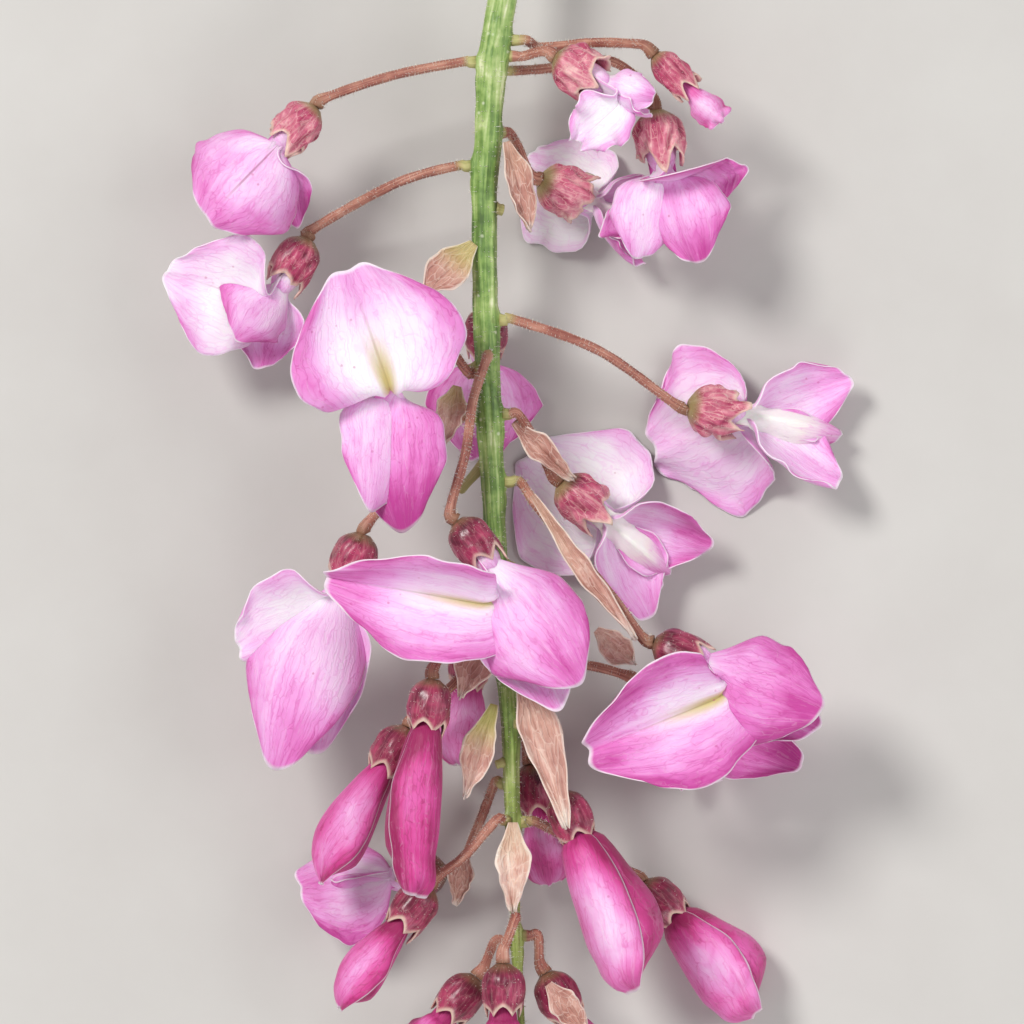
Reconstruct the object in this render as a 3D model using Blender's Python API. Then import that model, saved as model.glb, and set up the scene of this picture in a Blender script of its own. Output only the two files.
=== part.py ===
"""A cut wisteria raceme, lying on its back flowers on a flat surface.

A green stem carries red-brown flower stalks, each ending in a cup that holds one flower's petals,
with papery bracts between them. Opened flowers are at the cut end and buds at the tip.
X is to the right, Y runs along the stem to its cut end and Z is up. The origin is on the surface
under the middle of the part. Sizes are in millimetres and angles in degrees."""
import math

import bmesh
import bpy
import numpy as np

MM = 0.001

# Smallest space between two pieces.
GAP = 0.3

PETAL_THICK = 0.65
BRACT_THICK = 0.62
# Rows and columns of the points on a standard petal, and on a bract.
PETAL_GRID = (6, 5)
BRACT_GRID = (6, 3)
KEEL_COLUMNS = 3

# The cup that holds a flower's petals.
CUP_LONG = 4.6
CUP_WIDE = 2.35
CUP_WALL = 0.45
CUP_FLARE = 1.03
SOCKET_DEEP = 2.0
# Rings below the cup's lip, as heights and shares of its radius.
CUP_RINGS = ((0.7, 0.76), (2.0, 1.0))
TEETH = 5
TOOTH = 0.8
LOWER_TOOTH = 0.5

# The petals start in the cup and stay narrow as far as its teeth.
PETAL_ROOT = CUP_LONG - SOCKET_DEEP + GAP + 0.3
PETAL_CLAW = CUP_LONG + TOOTH / 2 + GAP + PETAL_THICK / 2 - PETAL_ROOT
PETAL_NARROW = 0.7
STANDARD_NARROW = 1.0
STANDARD_FOOT = 0.85
WING_FOOT = 0.8
KEEL_FOOT = 0.7
PLUG_CLEAR = 0.65
PLUG_TAPER = 0.8
PLUG_SIDES = 6

# The stalk from the stem to the cup.
STALK_WIDE = 0.5
STALK_SIDES = 10
STALK_STEP = 3.6
STALK_END = 1.3
NECK_SWELL = 1.5

# A knob on the stem at the foot of each stalk.
KNOB_OUT = 0.5
KNOB_LONG = 0.9
KNOB_TURN = 30
STEM_SIDES = 8

# How far a closed bud's outer petal wraps round from its back, and how far it stands out.
BUD_EDGE = 118
BUD_STEP = 6
BUD_LAYER = 0.45
BUD_RINGS = 6
BUD_SIDES = 5
BUD_SLIM = 0.12
BUD_TIP = 0.25

# The surface's height, with the stem at 0, and the flowers that are moved to rest on it.
REST_Z = -12.0
REST_CUT = 0.35
RESTING = ("04", "08", "09", "10", "18", "22")

PETAL_PINK = (0.78, 0.36, 0.62)
BUD_PINK = (0.70, 0.15, 0.42)
STALK_RED = (0.33, 0.10, 0.08)
STEM_GREEN = (0.22, 0.42, 0.08)
BRACT_TAN = (0.52, 0.35, 0.22)

# The stem's middle line from the cut end to the tip: X, Y, Z and radius.
STEM = (
    (-0.6, 61.0, 0.0, 1.60), (-1.0, 51.0, 0.0, 1.50), (-2.0, 45.2, 0.2, 1.42),
    (-2.4, 38.2, 0.0, 1.35), (-2.8, 31.2, 0.0, 1.25), (-2.7, 21.2, 0.2, 1.22),
    (-2.4, 13.2, 0.0, 1.20), (-2.1, 6.0, -0.2, 1.15), (-1.8, -1.0, 0.0, 1.05),
    (-1.2, -8.0, -0.2, 1.00), (-0.6, -14.8, 0.0, 0.95), (-0.2, -21.0, 0.0, 0.90),
    (0.0, -27.0, 0.0, 0.78), (0.1, -33.0, -0.3, 0.62), (0.3, -40.0, -0.8, 0.50),
    (0.7, -47.0, -1.2, 0.42), (1.0, -52.5, -1.4, 0.34),
)

# Half widths of each kind of blade from its foot to its tip, as shares of its greatest half width.
OUTLINES = {
    "standard": (
        (0, 0.12), (0.06, 0.30), (0.16, 0.74), (0.32, 0.97), (0.52, 1.0), (0.72, 0.92), (0.88, 0.74),
        (1, 0.55),
    ),
    "hood": ((0, 0.16), (0.10, 0.62), (0.30, 0.92), (0.54, 1.0), (0.76, 0.91), (0.90, 0.74), (1, 0.58)),
    "wing": ((0, 0.18), (0.10, 0.40), (0.30, 0.90), (0.54, 1.0), (0.76, 0.90), (0.90, 0.71), (1, 0.54)),
    "keel": ((0, 0.28), (0.20, 0.70), (0.52, 1.0), (0.82, 0.88), (1, 0.50)),
    "bract": ((0, 0.24), (0.14, 0.48), (0.40, 1.0), (0.62, 0.92), (0.84, 0.45), (1, 0.07)),
}

# A closed bud's radius from the cup's mouth to its tip, as shares of its greatest radius.
BUD_OUTLINE = ((0, 0.62), (0.10, 0.74), (0.34, 0.92), (0.60, 1.0), (0.82, 0.82), (0.94, 0.48), (1, 0.14))

STANDARD = dict(
    kind="standard", length=14.0, half=9.0, reflex=130, fold=12, arc=28, margin=-22, notch=0.05,
    round_tip=0.20, wave=0.3, claw=0.6,
)
WING = dict(
    kind="wing", length=12.0, half=4.9, splay=10, droop=8, spin=0, arc=55, round_tip=0.16, wave=0.15,
    bend=((0, 0), (0.3, 12), (1, -22)), skew=0.12,
)
KEEL = dict(
    kind="keel", length=9.5, half=3.0, droop=6, fold=55, arc=20, round_tip=0.05,
    bend=((0, 6), (0.3, 0), (1, -38)),
)
BRACT = dict(kind="bract", fold=14, arc=20, bend=0, round_tip=0)

# Each flower's cup is at a place and turned by its heading, tilt and roll. Its stalk leaves the stem
# at a node, which is a height and an angle round the stem, and passes the via points.
OPEN_FLOWERS = {
    "01": dict(
        at=(-19.6, 40.4, 1.0), turn=(-134, 4, 4), node=(45.0, 175), via=((-11.9, 43.6, 1.4),),
        cup_wide=2.1,
        standard=dict(
            kind="hood", length=10.4, half=8.2, reflex=8, fold=4, arc=60, margin=10, claw=0, bend=-24,
        ),
        wings=dict(length=8.0, half=2.3, droop=44, splay=0),
        left_wing=dict(aim=(-74, -36, 0), length=9.2, half=2.6),
    ),
    "02": dict(
        at=(-20.5, 27.4, -4.6), turn=(-120, 4, 80), node=(34.6, 175), via=((-11.4, 32.9, 1.0),),
        standard=dict(length=11.4, half=6.6, aim=(161, 6, -12), arc=20, claw=1.0),
        wings=dict(length=8.7, half=4.6),
        left_wing=dict(length=7.3, droop=-16),
        right_wing=dict(droop=22),
    ),
    "03": dict(
        at=(-11.4, 18.0, 4.2), turn=(-96, 26, 0), node=(14.0, 150), via=((-6.8, 16.8, 2.2),),
        standard=dict(
            length=15.6, half=9.2, aim=(109, 12, 8), fold=6, arc=14, margin=-30, notch=0.03, claw=0.4,
        ),
        wings=dict(length=15.4, half=5.2, arc=50),
        left_wing=dict(aim=(-87, 1, 200), half=5.8),
        right_wing=dict(aim=(-96, 6, 150), half=5.0, length=13.4),
    ),
    "04": dict(
        at=(-2.6, 20.6, -10.0), turn=(-92, -8, 0), node=(23.5, -95), via=((-2.8, 23.6, -6.0),),
        standard=dict(kind="hood", length=10.4, half=7.0, reflex=8, fold=4, arc=66, claw=0, bend=-24),
        wings=dict(length=8.4, half=3.0, droop=30, splay=2),
    ),
    "05": dict(
        at=(4.4, 45.4, 1.5), turn=(-30, 10, 60), node=(45.6, 10), via=(),
        standard=dict(length=7.2, half=3.3, aim=(-138, -20, 0), fold=10, arc=20, wave=0.5, claw=1.6),
        wings=dict(length=5.6, half=2.6, splay=8, spin=-40),
    ),
    "07": dict(
        at=(14.3, 40.2, -1.2), turn=(-82, 4, 176), node=(44.2, -45),
        via=((4.0, 44.6, -4.4), (9.6, 45.4, -5.2), (12.8, 43.4, -4.8)),
        standard=dict(kind="hood", length=6.6, half=8.2, aim=(-66, -15, 178), fold=4, arc=18, claw=0.8),
        wings=dict(length=10.6, half=4.8, arc=45),
        left_wing=dict(aim=(-102, -6, 160), length=9.6, half=3.9),
        right_wing=dict(aim=(-74, 4, 200), half=4.6),
    ),
    "08": dict(
        at=(2.9, 33.4, -4.0), turn=(-24, -22, 165), node=(38.0, -60), via=((0.6, 36.6, -3.4),),
        standard=dict(length=11.2, half=6.6, aim=(148, -16, 180), fold=8, arc=16, claw=0.4),
        wings=dict(length=8.3, half=4.3, splay=26, spin=-42),
        keel=dict(length=7.4, half=2.2),
    ),
    "09": dict(
        at=(17.7, 10.6, -2.5), turn=(-10, -14, 165), node=(19.2, 0), via=((8.8, 16.1, 0.0),),
        standard=dict(length=12.8, half=9.2, aim=(-162, -14, 172), fold=8, arc=16, claw=0),
        wings=dict(length=12.1, half=4.6, splay=26, spin=-62),
        keel=dict(length=11.2, half=3.0, fold=40),
    ),
    "10": dict(
        at=(4.9, 3.0, -4.5), turn=(-40, -14, 180), node=(9.8, -20), via=((2.4, 7.0, -2.4),),
        standard=dict(length=14.0, half=8.8, aim=(140, -14, 180), fold=8, arc=16, claw=0.4),
        wings=dict(length=11.4, half=4.9, splay=24, spin=-62),
        keel=dict(length=9.6, half=3.0, fold=40),
        bract=dict(root=(0.6, 8.6, -0.9), turn=(-44, -8, 10), length=7.8, half=1.5, fold=20),
    ),
    "11": dict(
        at=(-5.4, -0.9, 6.5), turn=(-53, 6, 90), node=(15.4, 100), via=((-3.9, 11.0, 3.6), (-4.6, 6.0, 5.0)),
        standard=dict(length=20.2, half=7.2, aim=(170, 4, -20), fold=34, arc=20, margin=-20, claw=1.0),
        wings=dict(length=15.1, half=6.8, splay=4, droop=0),
        right_wing=dict(droop=-12, half=5.6, length=16.0),
    ),
    "12": dict(
        at=(-14.8, -2.2, 1.5), turn=(-112, -4, 90), node=(9.4, 165), via=((-8.6, 5.4, 1.6),),
        standard=dict(length=11.9, half=6.0, aim=(-151, -4, -14), fold=8, arc=30),
        wings=dict(length=19.8, half=6.6, splay=4, droop=2),
        right_wing=dict(droop=13, half=5.6, length=18.0, splay=7),
    ),
    "13": dict(
        at=(14.2, -13.0, 3.0), turn=(-22, 6, 90), node=(3.0, 20), via=((2.8, 0.2, 2.4), (9.8, -8.2, 3.4)),
        standard=dict(length=18.4, half=7.8, aim=(-158, 6, -14), fold=22, arc=20, margin=-20, claw=1.0),
        wings=dict(length=12.9, half=6.4, splay=5, droop=0),
        right_wing=dict(droop=-9, half=5.4, length=13.2),
    ),
    "14": dict(
        at=(12.6, -17.2, -6.6), turn=(-34, 6, 160), node=(-16.0, -60), via=((7.0, -15.4, -6.4),),
        standard=dict(length=9.4, half=5.6, reflex=75, fold=10, arc=16),
        wings=dict(length=13.4, half=4.6, splay=6, spin=-40),
        left_wing=dict(length=8.0, half=3.0, splay=28),
        bract=dict(root=(8.9, -12.2, -3.0), turn=(-42, 0, 0), length=4.6, half=1.7),
    ),
    "18": dict(
        at=(-6.6, -36.2, -5.0), turn=(-172, -4, 30), node=(-27.2, -130), via=((-3.4, -31.6, -4.6),),
        standard=dict(kind="hood", length=9.7, half=7.0, reflex=12, fold=4, arc=60, claw=0, bend=-14),
        wings=dict(length=8.4, half=3.8, droop=28, splay=4),
        bract=dict(root=(-4.8, -34.6, -2.0), turn=(-100, 0, 0), length=4.8, half=1.4),
    ),
}

BUDS = {
    "06": dict(
        at=(14.2, 45.6, 2.2), turn=(-45, 0, 0), node=(47.2, -15),
        via=((3.0, 46.6, -2.2), (8.0, 47.0, -1.8), (12.0, 46.8, 0.6)),
        bud=dict(length=3.8, wide=1.4), cup_wide=1.6,
    ),
    "15": dict(
        at=(-7.9, -16.6, 6.2), turn=(-98, 0, 80), node=(-7.0, 110), via=((-5.2, -12.0, 5.0),),
        bud=dict(length=15.7, wide=3.1),
    ),
    "16": dict(
        at=(-10.4, -21.6, 0.2), turn=(-121, 0, 80), node=(-14.4, 170), via=((-5.8, -17.2, 1.4),),
        bud=dict(length=12.1, wide=2.9),
    ),
    "17": dict(
        at=(-3.9, -12.6, -5.4), turn=(-96, -6, 0), node=(-6.4, -120), via=((-3.4, -9.4, -4.6),),
        bud=dict(length=7.4, wide=2.4),
    ),
    "19": dict(
        at=(-8.2, -37.4, 2.0), turn=(-128, 0, 80), node=(-30.8, 150), via=((-4.8, -34.4, 2.4),),
        bud=dict(length=9.4, wide=2.5),
    ),
    "20": dict(
        at=(4.8, -28.0, 1.6), turn=(-66, 0, -72), node=(-21.2, 45), via=((3.0, -25.0, 1.8),),
        bud=dict(length=15.3, wide=4.2),
    ),
    "21": dict(
        at=(1.8, -25.4, -6.0), turn=(-80, -4, 0), node=(-20.4, -80), via=((1.2, -22.6, -4.0),),
        bud=dict(length=6.6, wide=2.2),
    ),
    "22": dict(
        at=(13.2, -37.4, -2.6), turn=(-46, -2, -72), node=(-31.0, -20), via=((6.6, -33.4, -3.0),),
        bud=dict(length=11.6, wide=4.1),
    ),
    "23": dict(
        at=(-0.9, -45.0, 3.4), turn=(-90, 0, 0), node=(-40.6, 90), via=((-0.5, -42.8, 2.8),),
        bud=dict(length=3.9, wide=2.3),
    ),
    "24": dict(
        at=(-3.6, -46.6, -1.6), turn=(-128, 0, 0), node=(-43.0, -160), via=(),
        bud=dict(length=3.9, wide=2.2),
    ),
    "25": dict(
        at=(3.4, -46.2, -1.4), turn=(-62, 0, 0), node=(-42.4, -20), via=(),
        bud=dict(length=4.9, wide=2.2),
        bract=dict(root=(4.0, -47.6, 1.6), turn=(-52, 0, 0), length=5.4, half=1.7),
    ),
}

# Bracts that stand free of every stalk.
BRACTS = {
    "01": dict(root=(-4.2, 26.4, 1.2), turn=(-132, 12, 10), length=7.6, half=2.2, bend=-20),
    "02": dict(root=(-5.6, 12.0, 1.1), turn=(-104, 6, 0), length=5.6, half=1.9, fold=20, bend=-20),
    "03": dict(root=(-0.4, 36.4, 1.5), turn=(-72, 6, -20), length=8.6, half=1.7, fold=16, bend=20),
    "05": dict(root=(2.4, 1.2, 4.0), turn=(-55, 4, 10), length=17.0, half=1.3, fold=30, arc=30, bend=4),
    "06": dict(root=(-2.3, -11.6, 1.9), turn=(-113, 10, 10), length=7.6, half=2.3, bend=10),
    "07": dict(root=(-1.9, -19.8, 1.0), turn=(-106, 6, 20), length=9.4, half=1.9, fold=20, arc=30, bend=-10),
    "08": dict(root=(0.8, -16.0, 1.6), turn=(-72, 17, -10), length=16.4, half=2.2, fold=12, arc=24, bend=12),
    "09": dict(root=(0.1, -31.6, 1.3), turn=(-90, 7, 0), length=8.4, half=2.0, arc=24, bend=14),
}


def unit(vector):
    vector = np.asarray(vector, float)
    return vector / np.linalg.norm(vector)


def smooth_step(low, high, value):
    t = np.clip((np.asarray(value, float) - low) / (high - low), 0, 1)
    return t * t * (3 - 2 * t)


def through(knots, at):
    """Smooth values at each place in at, through (place, value) knots and never past them."""
    x, y = np.array(knots, float).T
    gap = np.diff(x)
    slope = np.diff(y) / gap
    lean = np.concatenate([slope[:1], np.zeros(len(y) - 2), slope[-1:]])
    for i in range(1, len(y) - 1):
        if slope[i - 1] * slope[i] > 0:
            lean[i] = 2 * slope[i - 1] * slope[i] / (slope[i - 1] + slope[i])
    i = np.clip(np.searchsorted(x, at, side="right") - 1, 0, len(gap) - 1)
    t = (np.asarray(at, float) - x[i]) / gap[i]
    start = (1 + 2 * t) * (1 - t) ** 2 * y[i] + t * (1 - t) ** 2 * gap[i] * lean[i]
    end = t * t * (3 - 2 * t) * y[i + 1] + t * t * (t - 1) * gap[i] * lean[i + 1]
    return start + end


def curve_through(points, count, fine=24):
    """count points at even steps on a smooth curve through the given points."""
    p = np.array(points, float)
    ends = np.vstack([2 * p[0] - p[1], p, 2 * p[-1] - p[-2]])
    t = np.linspace(0, 1, fine, endpoint=False)[:, None]
    made = []
    for a, b, c, d in zip(ends, ends[1:], ends[2:], ends[3:]):
        square = (2 * a - 5 * b + 4 * c - d) * t**2
        cube = (3 * b - a - 3 * c + d) * t**3
        made.append((2 * b + (c - a) * t + square + cube) / 2)
    made = np.vstack([*made, p[-1:]])
    steps = np.linalg.norm(np.diff(made, axis=0), axis=1)
    along = np.concatenate([[0], np.cumsum(steps)])
    at = np.linspace(0, along[-1], count)
    return np.stack([np.interp(at, along, made[:, k]) for k in range(3)], axis=1)


def directions(heading, tilt, roll):
    """The axis, back and right directions of a flower or blade. heading is the axis's angle on the
    surface, tilt its rise above it, and roll turns the back from straight up about the axis."""
    h, t, r = (math.radians(angle) for angle in (heading, tilt, roll))
    axis = np.array([math.cos(h) * math.cos(t), math.sin(h) * math.cos(t), math.sin(t)])
    up = unit(np.array([0, 0, 1.0]) - axis[2] * axis)
    back = math.cos(r) * up + math.sin(r) * np.cross(axis, up)
    return axis, back, np.cross(axis, back)


def turned(vector, about, degrees):
    """A vector turned about a unit direction, by the right-hand rule."""
    a = math.radians(degrees)
    across = np.cross(about, vector) * math.sin(a)
    return vector * math.cos(a) + across + about * (about @ vector) * (1 - math.cos(a))


def turn_between(first, way, looks):
    """The direction to turn about, and the degrees, that bring a first frame onto a way and a look."""
    last = np.array([way, np.cross(way, looks), looks])
    matrix = last.T @ first
    angle = math.acos(max(-1.0, min(1.0, (np.trace(matrix) - 1) / 2)))
    pivot = np.array([matrix[2, 1] - matrix[1, 2], matrix[0, 2] - matrix[2, 0], matrix[1, 0] - matrix[0, 1]])
    return (unit(pivot) if np.linalg.norm(pivot) > 1e-6 else way), math.degrees(angle)


def midrib(root, along, face, whole, past, bend, last):
    """Points, ways, sides and faces down the middle of a blade, one for each value of past."""
    first = np.array([along, np.cross(along, face), face])
    pivot, swing = turn_between(first, *last) if last is not None else (along, 0)
    bends = through(bend, past) if np.ndim(bend) else bend * past
    swings = swing * smooth_step(-0.01, 0.22, past) * (past > 0)
    frames = []
    for away, swung in zip(bends, swings):
        way, side, looks = (turned(vector, pivot, swung) for vector in first)
        frames.append([turned(way, side, -away), side, turned(looks, side, -away)])
    frames = np.array(frames)
    steps = (frames[1:, 0] + frames[:-1, 0]) / 2 * whole / (len(past) - 1)
    spine = np.array(root, float) + np.vstack([np.zeros(3), np.cumsum(steps, axis=0)])
    return spine, frames


def blade(
    root, along, face, length, half, kind, rows, columns, claw=0.0, claw_half=1.0, last=None, bend=0, fold=0,
    arc=0, margin=0, round_tip=0.16, notch=0.0, wave=0.0, skew=0.0,
):
    """A petal or bract as a grid of points, rows from root to tip and columns from edge to edge.

    Its first claw millimetres are narrow and straight. Then it swings to the last way and look, if
    they are given. face is the direction that its inner side looks, and bend is the midrib's turning
    away from face. fold creases it along the midrib, arc curves it across and margin curls its
    edges, all towards face."""
    whole = claw + length
    share = claw / whole
    fine = np.linspace(0, 1, 161)
    spine, frames = midrib(root, along, face, whole, np.clip((fine - share) / (1 - share), 0, 1), bend, last)
    v = np.linspace(0, 1, rows)
    if claw:
        v = np.concatenate([[0], share + (1 - share) * np.linspace(0, 1, rows - 1) ** 1.2])
    w = np.clip((v - share) / (1 - share), 0, 1)
    spine, ways, sides, faces = (
        np.stack([np.interp(v, fine, table[:, k]) for k in range(3)], axis=1)
        for table in (spine, frames[:, 0], frames[:, 1], frames[:, 2])
    )
    u = np.linspace(-1, 1, columns)
    k = np.abs(u)
    reach = np.linspace(0, 1, 41)
    widths = np.maximum(half * through(OUTLINES[kind], w), claw_half if claw else 0)
    grid = np.zeros((rows, columns, 3))
    for i in range(rows):
        creased = smooth_step(0.0, 0.25, w[i])
        turn = np.radians(fold * creased + arc * reach + margin * smooth_step(0.5, 1.0, reach) * creased)
        out = np.concatenate([[0], np.cumsum(np.cos(turn))[:-1]]) / 40
        lift = np.concatenate([[0], np.cumsum(np.sin(turn))[:-1]]) / 40
        wide = widths[i] * (1 + skew * np.sign(u) * smooth_step(0.1, 0.5, w[i]))
        ripple = wave * k**2 * np.sin(4 * math.pi * w[i] + 1.7 * np.sign(u)) * smooth_step(0.15, 0.5, w[i])
        aside = np.sign(u) * np.interp(k, reach, out) * wide
        towards = np.interp(k, reach, lift) * wide + ripple
        drop = -round_tip * k**2.2 - notch * np.exp(-((u / 0.22) ** 2))
        drop = drop * smooth_step(0.35, 1.0, w[i]) * length
        grid[i] = spine[i] + sides[i] * aside[:, None] + faces[i] * towards[:, None] + ways[i] * drop[:, None]
    return grid


def plug_wide(flower):
    """The radius of the petals' common foot, which stands clear of the cup."""
    return flower.get("cup_wide", CUP_WIDE) - CUP_WALL - PLUG_CLEAR


def petal_blade(flower, look, foot, inner, rows, columns, last, claw=PETAL_CLAW, claw_half=PETAL_NARROW):
    """A petal whose narrow foot stands in the flower's cup, foot millimetres from the cup's middle."""
    axis = directions(*flower["turn"])[0]
    root = np.array(flower["at"]) + axis * PETAL_ROOT + foot
    size = dict(rows=rows, columns=columns, claw=claw, claw_half=claw_half)
    return blade(root, axis, inner, last=last, **size, **look)


def standard_petal(flower, rows, columns):
    """The big back petal. Past the cup it turns back by reflex degrees, or to its own aim."""
    axis, back, right = directions(*flower["turn"])
    look = {**STANDARD, **flower["standard"]}
    reflex, aim, claw = look.pop("reflex"), look.pop("aim", None), PETAL_CLAW + look.pop("claw")
    last = directions(*aim)[:2] if aim else (turned(axis, right, reflex), turned(-back, right, reflex))
    foot = back * STANDARD_FOOT
    return petal_blade(flower, look, foot, -back, rows, columns, last, claw, STANDARD_NARROW)


def wing_petal(flower, hand, rows, columns):
    """A side petal. hand is 1 for the flower's right and -1 for its left."""
    axis, back, right = directions(*flower["turn"])
    own = flower.get("right_wing" if hand > 0 else "left_wing", {})
    look = {**WING, **flower["wings"], **own}
    splay, droop, spin, aim = look.pop("splay"), look.pop("droop"), look.pop("spin"), look.pop("aim", None)
    inner = -right * hand
    way = turned(turned(axis, right, -droop), back, -splay * hand)
    looks = turned(unit(inner - way * (inner @ way)), way, spin * hand)
    last = directions(*aim)[:2] if aim else (way, looks)
    look["skew"] = look["skew"] * hand
    return petal_blade(flower, look, right * hand * WING_FOOT, inner, rows, columns, last)


def keel_petal(flower, rows, columns):
    """The folded petal under the wings."""
    axis, back, right = directions(*flower["turn"])
    look = {**KEEL, **flower["keel"]}
    droop = look.pop("droop")
    last = turned(axis, right, -droop), turned(back, right, -droop)
    return petal_blade(flower, look, -back * KEEL_FOOT, back, rows, columns, last)


def petal_grids(flower):
    """The grid of each petal of an opened flower."""
    rows, columns = PETAL_GRID
    made = [standard_petal(flower, rows, columns)]
    made += [wing_petal(flower, hand, rows - 1, columns - 1) for hand in (1, -1)]
    if "keel" in flower:
        made.append(keel_petal(flower, rows - 2, KEEL_COLUMNS))
    return made


def ring_points(centre, ahead, guide, radius, angles):
    """Points round a centre at angles in radians, square to ahead and measured from guide."""
    one = unit(guide - ahead * (guide @ ahead))
    two = np.cross(ahead, one)
    round_it = np.cos(angles)[:, None] * one + np.sin(angles)[:, None] * two
    return centre + round_it * np.reshape(radius, (-1, 1))


def even_angles(count):
    return np.arange(count) * 2 * math.pi / count


def bud_rings(flower):
    """The rings of a closed bud, from its foot in the cup to its tip. Its back petal wraps round the
    others as far as BUD_EDGE, and stands out from them by BUD_LAYER."""
    axis, back, _ = directions(*flower["turn"])
    long, wide = flower["bud"]["length"], flower["bud"]["wide"]
    inner_sides = BUD_SIDES - 2
    angles = [*np.linspace(0, BUD_EDGE, BUD_SIDES), *np.linspace(BUD_EDGE + BUD_STEP, 180, inner_sides)]
    sunk = [0] * BUD_SIDES + [1] * inner_sides
    angles += [360 - angle for angle in angles[-2:0:-1]]
    sunk += sunk[-2:0:-1]
    angles, sunk = np.radians(angles), np.array(sunk)
    base = np.array(flower["at"]) + axis * PETAL_ROOT
    made = [ring_points(base + axis * far, axis, back, plug_wide(flower), angles) for far in (0, PETAL_CLAW)]
    for v in np.linspace(0, 1, BUD_RINGS + 1)[1:] ** 0.9:
        radius = wide * float(through(BUD_OUTLINE, v)) * (1 - BUD_SLIM * np.cos(angles) ** 2)
        layer = BUD_LAYER * smooth_step(0.05, 0.25, v) * (1 - 0.5 * smooth_step(0.8, 1, v)) * sunk
        curl = back * long * (0.05 * v - 0.10 * v**2)
        place = base + axis * (PETAL_CLAW + long * v) + curl
        made.append(ring_points(place, axis, back, np.maximum(radius - layer, BUD_TIP), angles))
    return np.array(made)


def seated(flower):
    """The flower, lowered or raised until its lowest petal is just under the surface."""
    if "bud" in flower:
        lowest = bud_rings(flower)[..., 2].min()
    else:
        lowest = min(grid[..., 2].min() for grid in petal_grids(flower)) - PETAL_THICK / 2
    x, y, z = flower["at"]
    drop = REST_Z - REST_CUT - lowest
    via = [(a, b, c + drop / 2) for a, b, c in flower["via"]]
    return {**flower, "at": (x, y, z + drop), "via": via}


def all_flowers():
    """Every flower and bud by its number."""
    flowers = {**OPEN_FLOWERS, **BUDS}
    return {name: seated(flowers[name]) if name in RESTING else flowers[name] for name in sorted(flowers)}


def stem_at(height):
    """The stem's middle and radius at a height along it."""
    table = np.array(STEM)[::-1]
    x, z, radius = (np.interp(height, table[:, 1], table[:, k]) for k in (0, 2, 3))
    return np.array([x, height, z]), float(radius)


def node_angle(flower):
    """The angle round the stem of a flower's stalk, at the nearest edge of the stem."""
    step = 360 / STEM_SIDES
    return round(flower["node"][1] / step) * step


def foot_of(flower):
    """Where a flower's stalk starts beside the stem, and the way that it leaves it."""
    around = math.radians(node_angle(flower))
    middle, radius = stem_at(flower["node"][0])
    out = np.array([math.cos(around), 0, math.sin(around)])
    return middle + out * (radius + KNOB_OUT + GAP), out


def stem_ring(flowers, height):
    """The stem's outline at a height, with the knobs that the flower stalks start from."""
    middle, radius = stem_at(height)
    points = []
    for around in even_angles(STEM_SIDES):
        reach = radius
        for flower in flowers.values():
            turn = (math.degrees(around) - node_angle(flower) + 180) % 360 - 180
            near = math.exp(-((turn / KNOB_TURN) ** 2) - ((height - flower["node"][0]) / KNOB_LONG) ** 2)
            reach = max(reach, radius + KNOB_OUT * near)
        points.append(middle + np.array([math.cos(around), 0, math.sin(around)]) * reach)
    return np.array(points)


def stalk_rings(flower):
    """Rings of the stalk and its cup, from the stem to the bottom of the cup's inside."""
    axis, back, _ = directions(*flower["turn"])
    base = np.array(flower["at"])
    wide = flower.get("cup_wide", CUP_WIDE)
    start, out = foot_of(flower)
    path = [start, start + out * KNOB_LONG, *flower["via"], base - axis * STALK_END, base]
    length = sum(np.linalg.norm(np.array(b) - a) for a, b in zip(path, path[1:]))
    line = curve_through(path, max(4, min(7, round(length / STALK_STEP))))
    around = even_angles(STALK_SIDES)
    made = [ring_points(line[0], out, back, STALK_WIDE, around)]
    for before, point, after in zip(line, line[1:], line[2:]):
        made.append(ring_points(point, unit(after - before), back, STALK_WIDE, around))
    made.append(ring_points(line[-1], unit(line[-1] - line[-2]), back, STALK_WIDE * NECK_SWELL, around))
    for far, share in CUP_RINGS:
        made.append(ring_points(base + axis * far, axis, back, wide * share, around))
    rim = -TOOTH / 2 * np.cos(TEETH * around)
    rim = np.where((np.cos(around) < -0.3) & (rim > 0), rim + LOWER_TOOTH, rim)[:, None] * axis
    lip = base + axis * CUP_LONG
    made.append(ring_points(lip, axis, back, wide * CUP_FLARE, around) + rim)
    made.append(ring_points(lip, axis, back, wide * CUP_FLARE - CUP_WALL, around) + rim * 0.8)
    made.append(ring_points(lip - axis * SOCKET_DEEP, axis, back, wide - CUP_WALL - 0.1, around))
    return np.array(made)


def new_object(name, points, faces):
    mesh = bpy.data.meshes.new(name)
    mesh.from_pydata([tuple(point * MM) for point in points], [], faces)
    mesh.update()
    made = bpy.data.objects.new(name, mesh)
    bpy.context.scene.collection.objects.link(made)
    return made


def grid_edge(rows, columns):
    """The places of a grid's outer points, in order round it."""
    edge = list(range(columns))
    edge += [i * columns + columns - 1 for i in range(1, rows)]
    edge += [(rows - 1) * columns + j for j in range(columns - 2, -1, -1)]
    edge += [i * columns for i in range(rows - 2, 0, -1)]
    return edge


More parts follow.
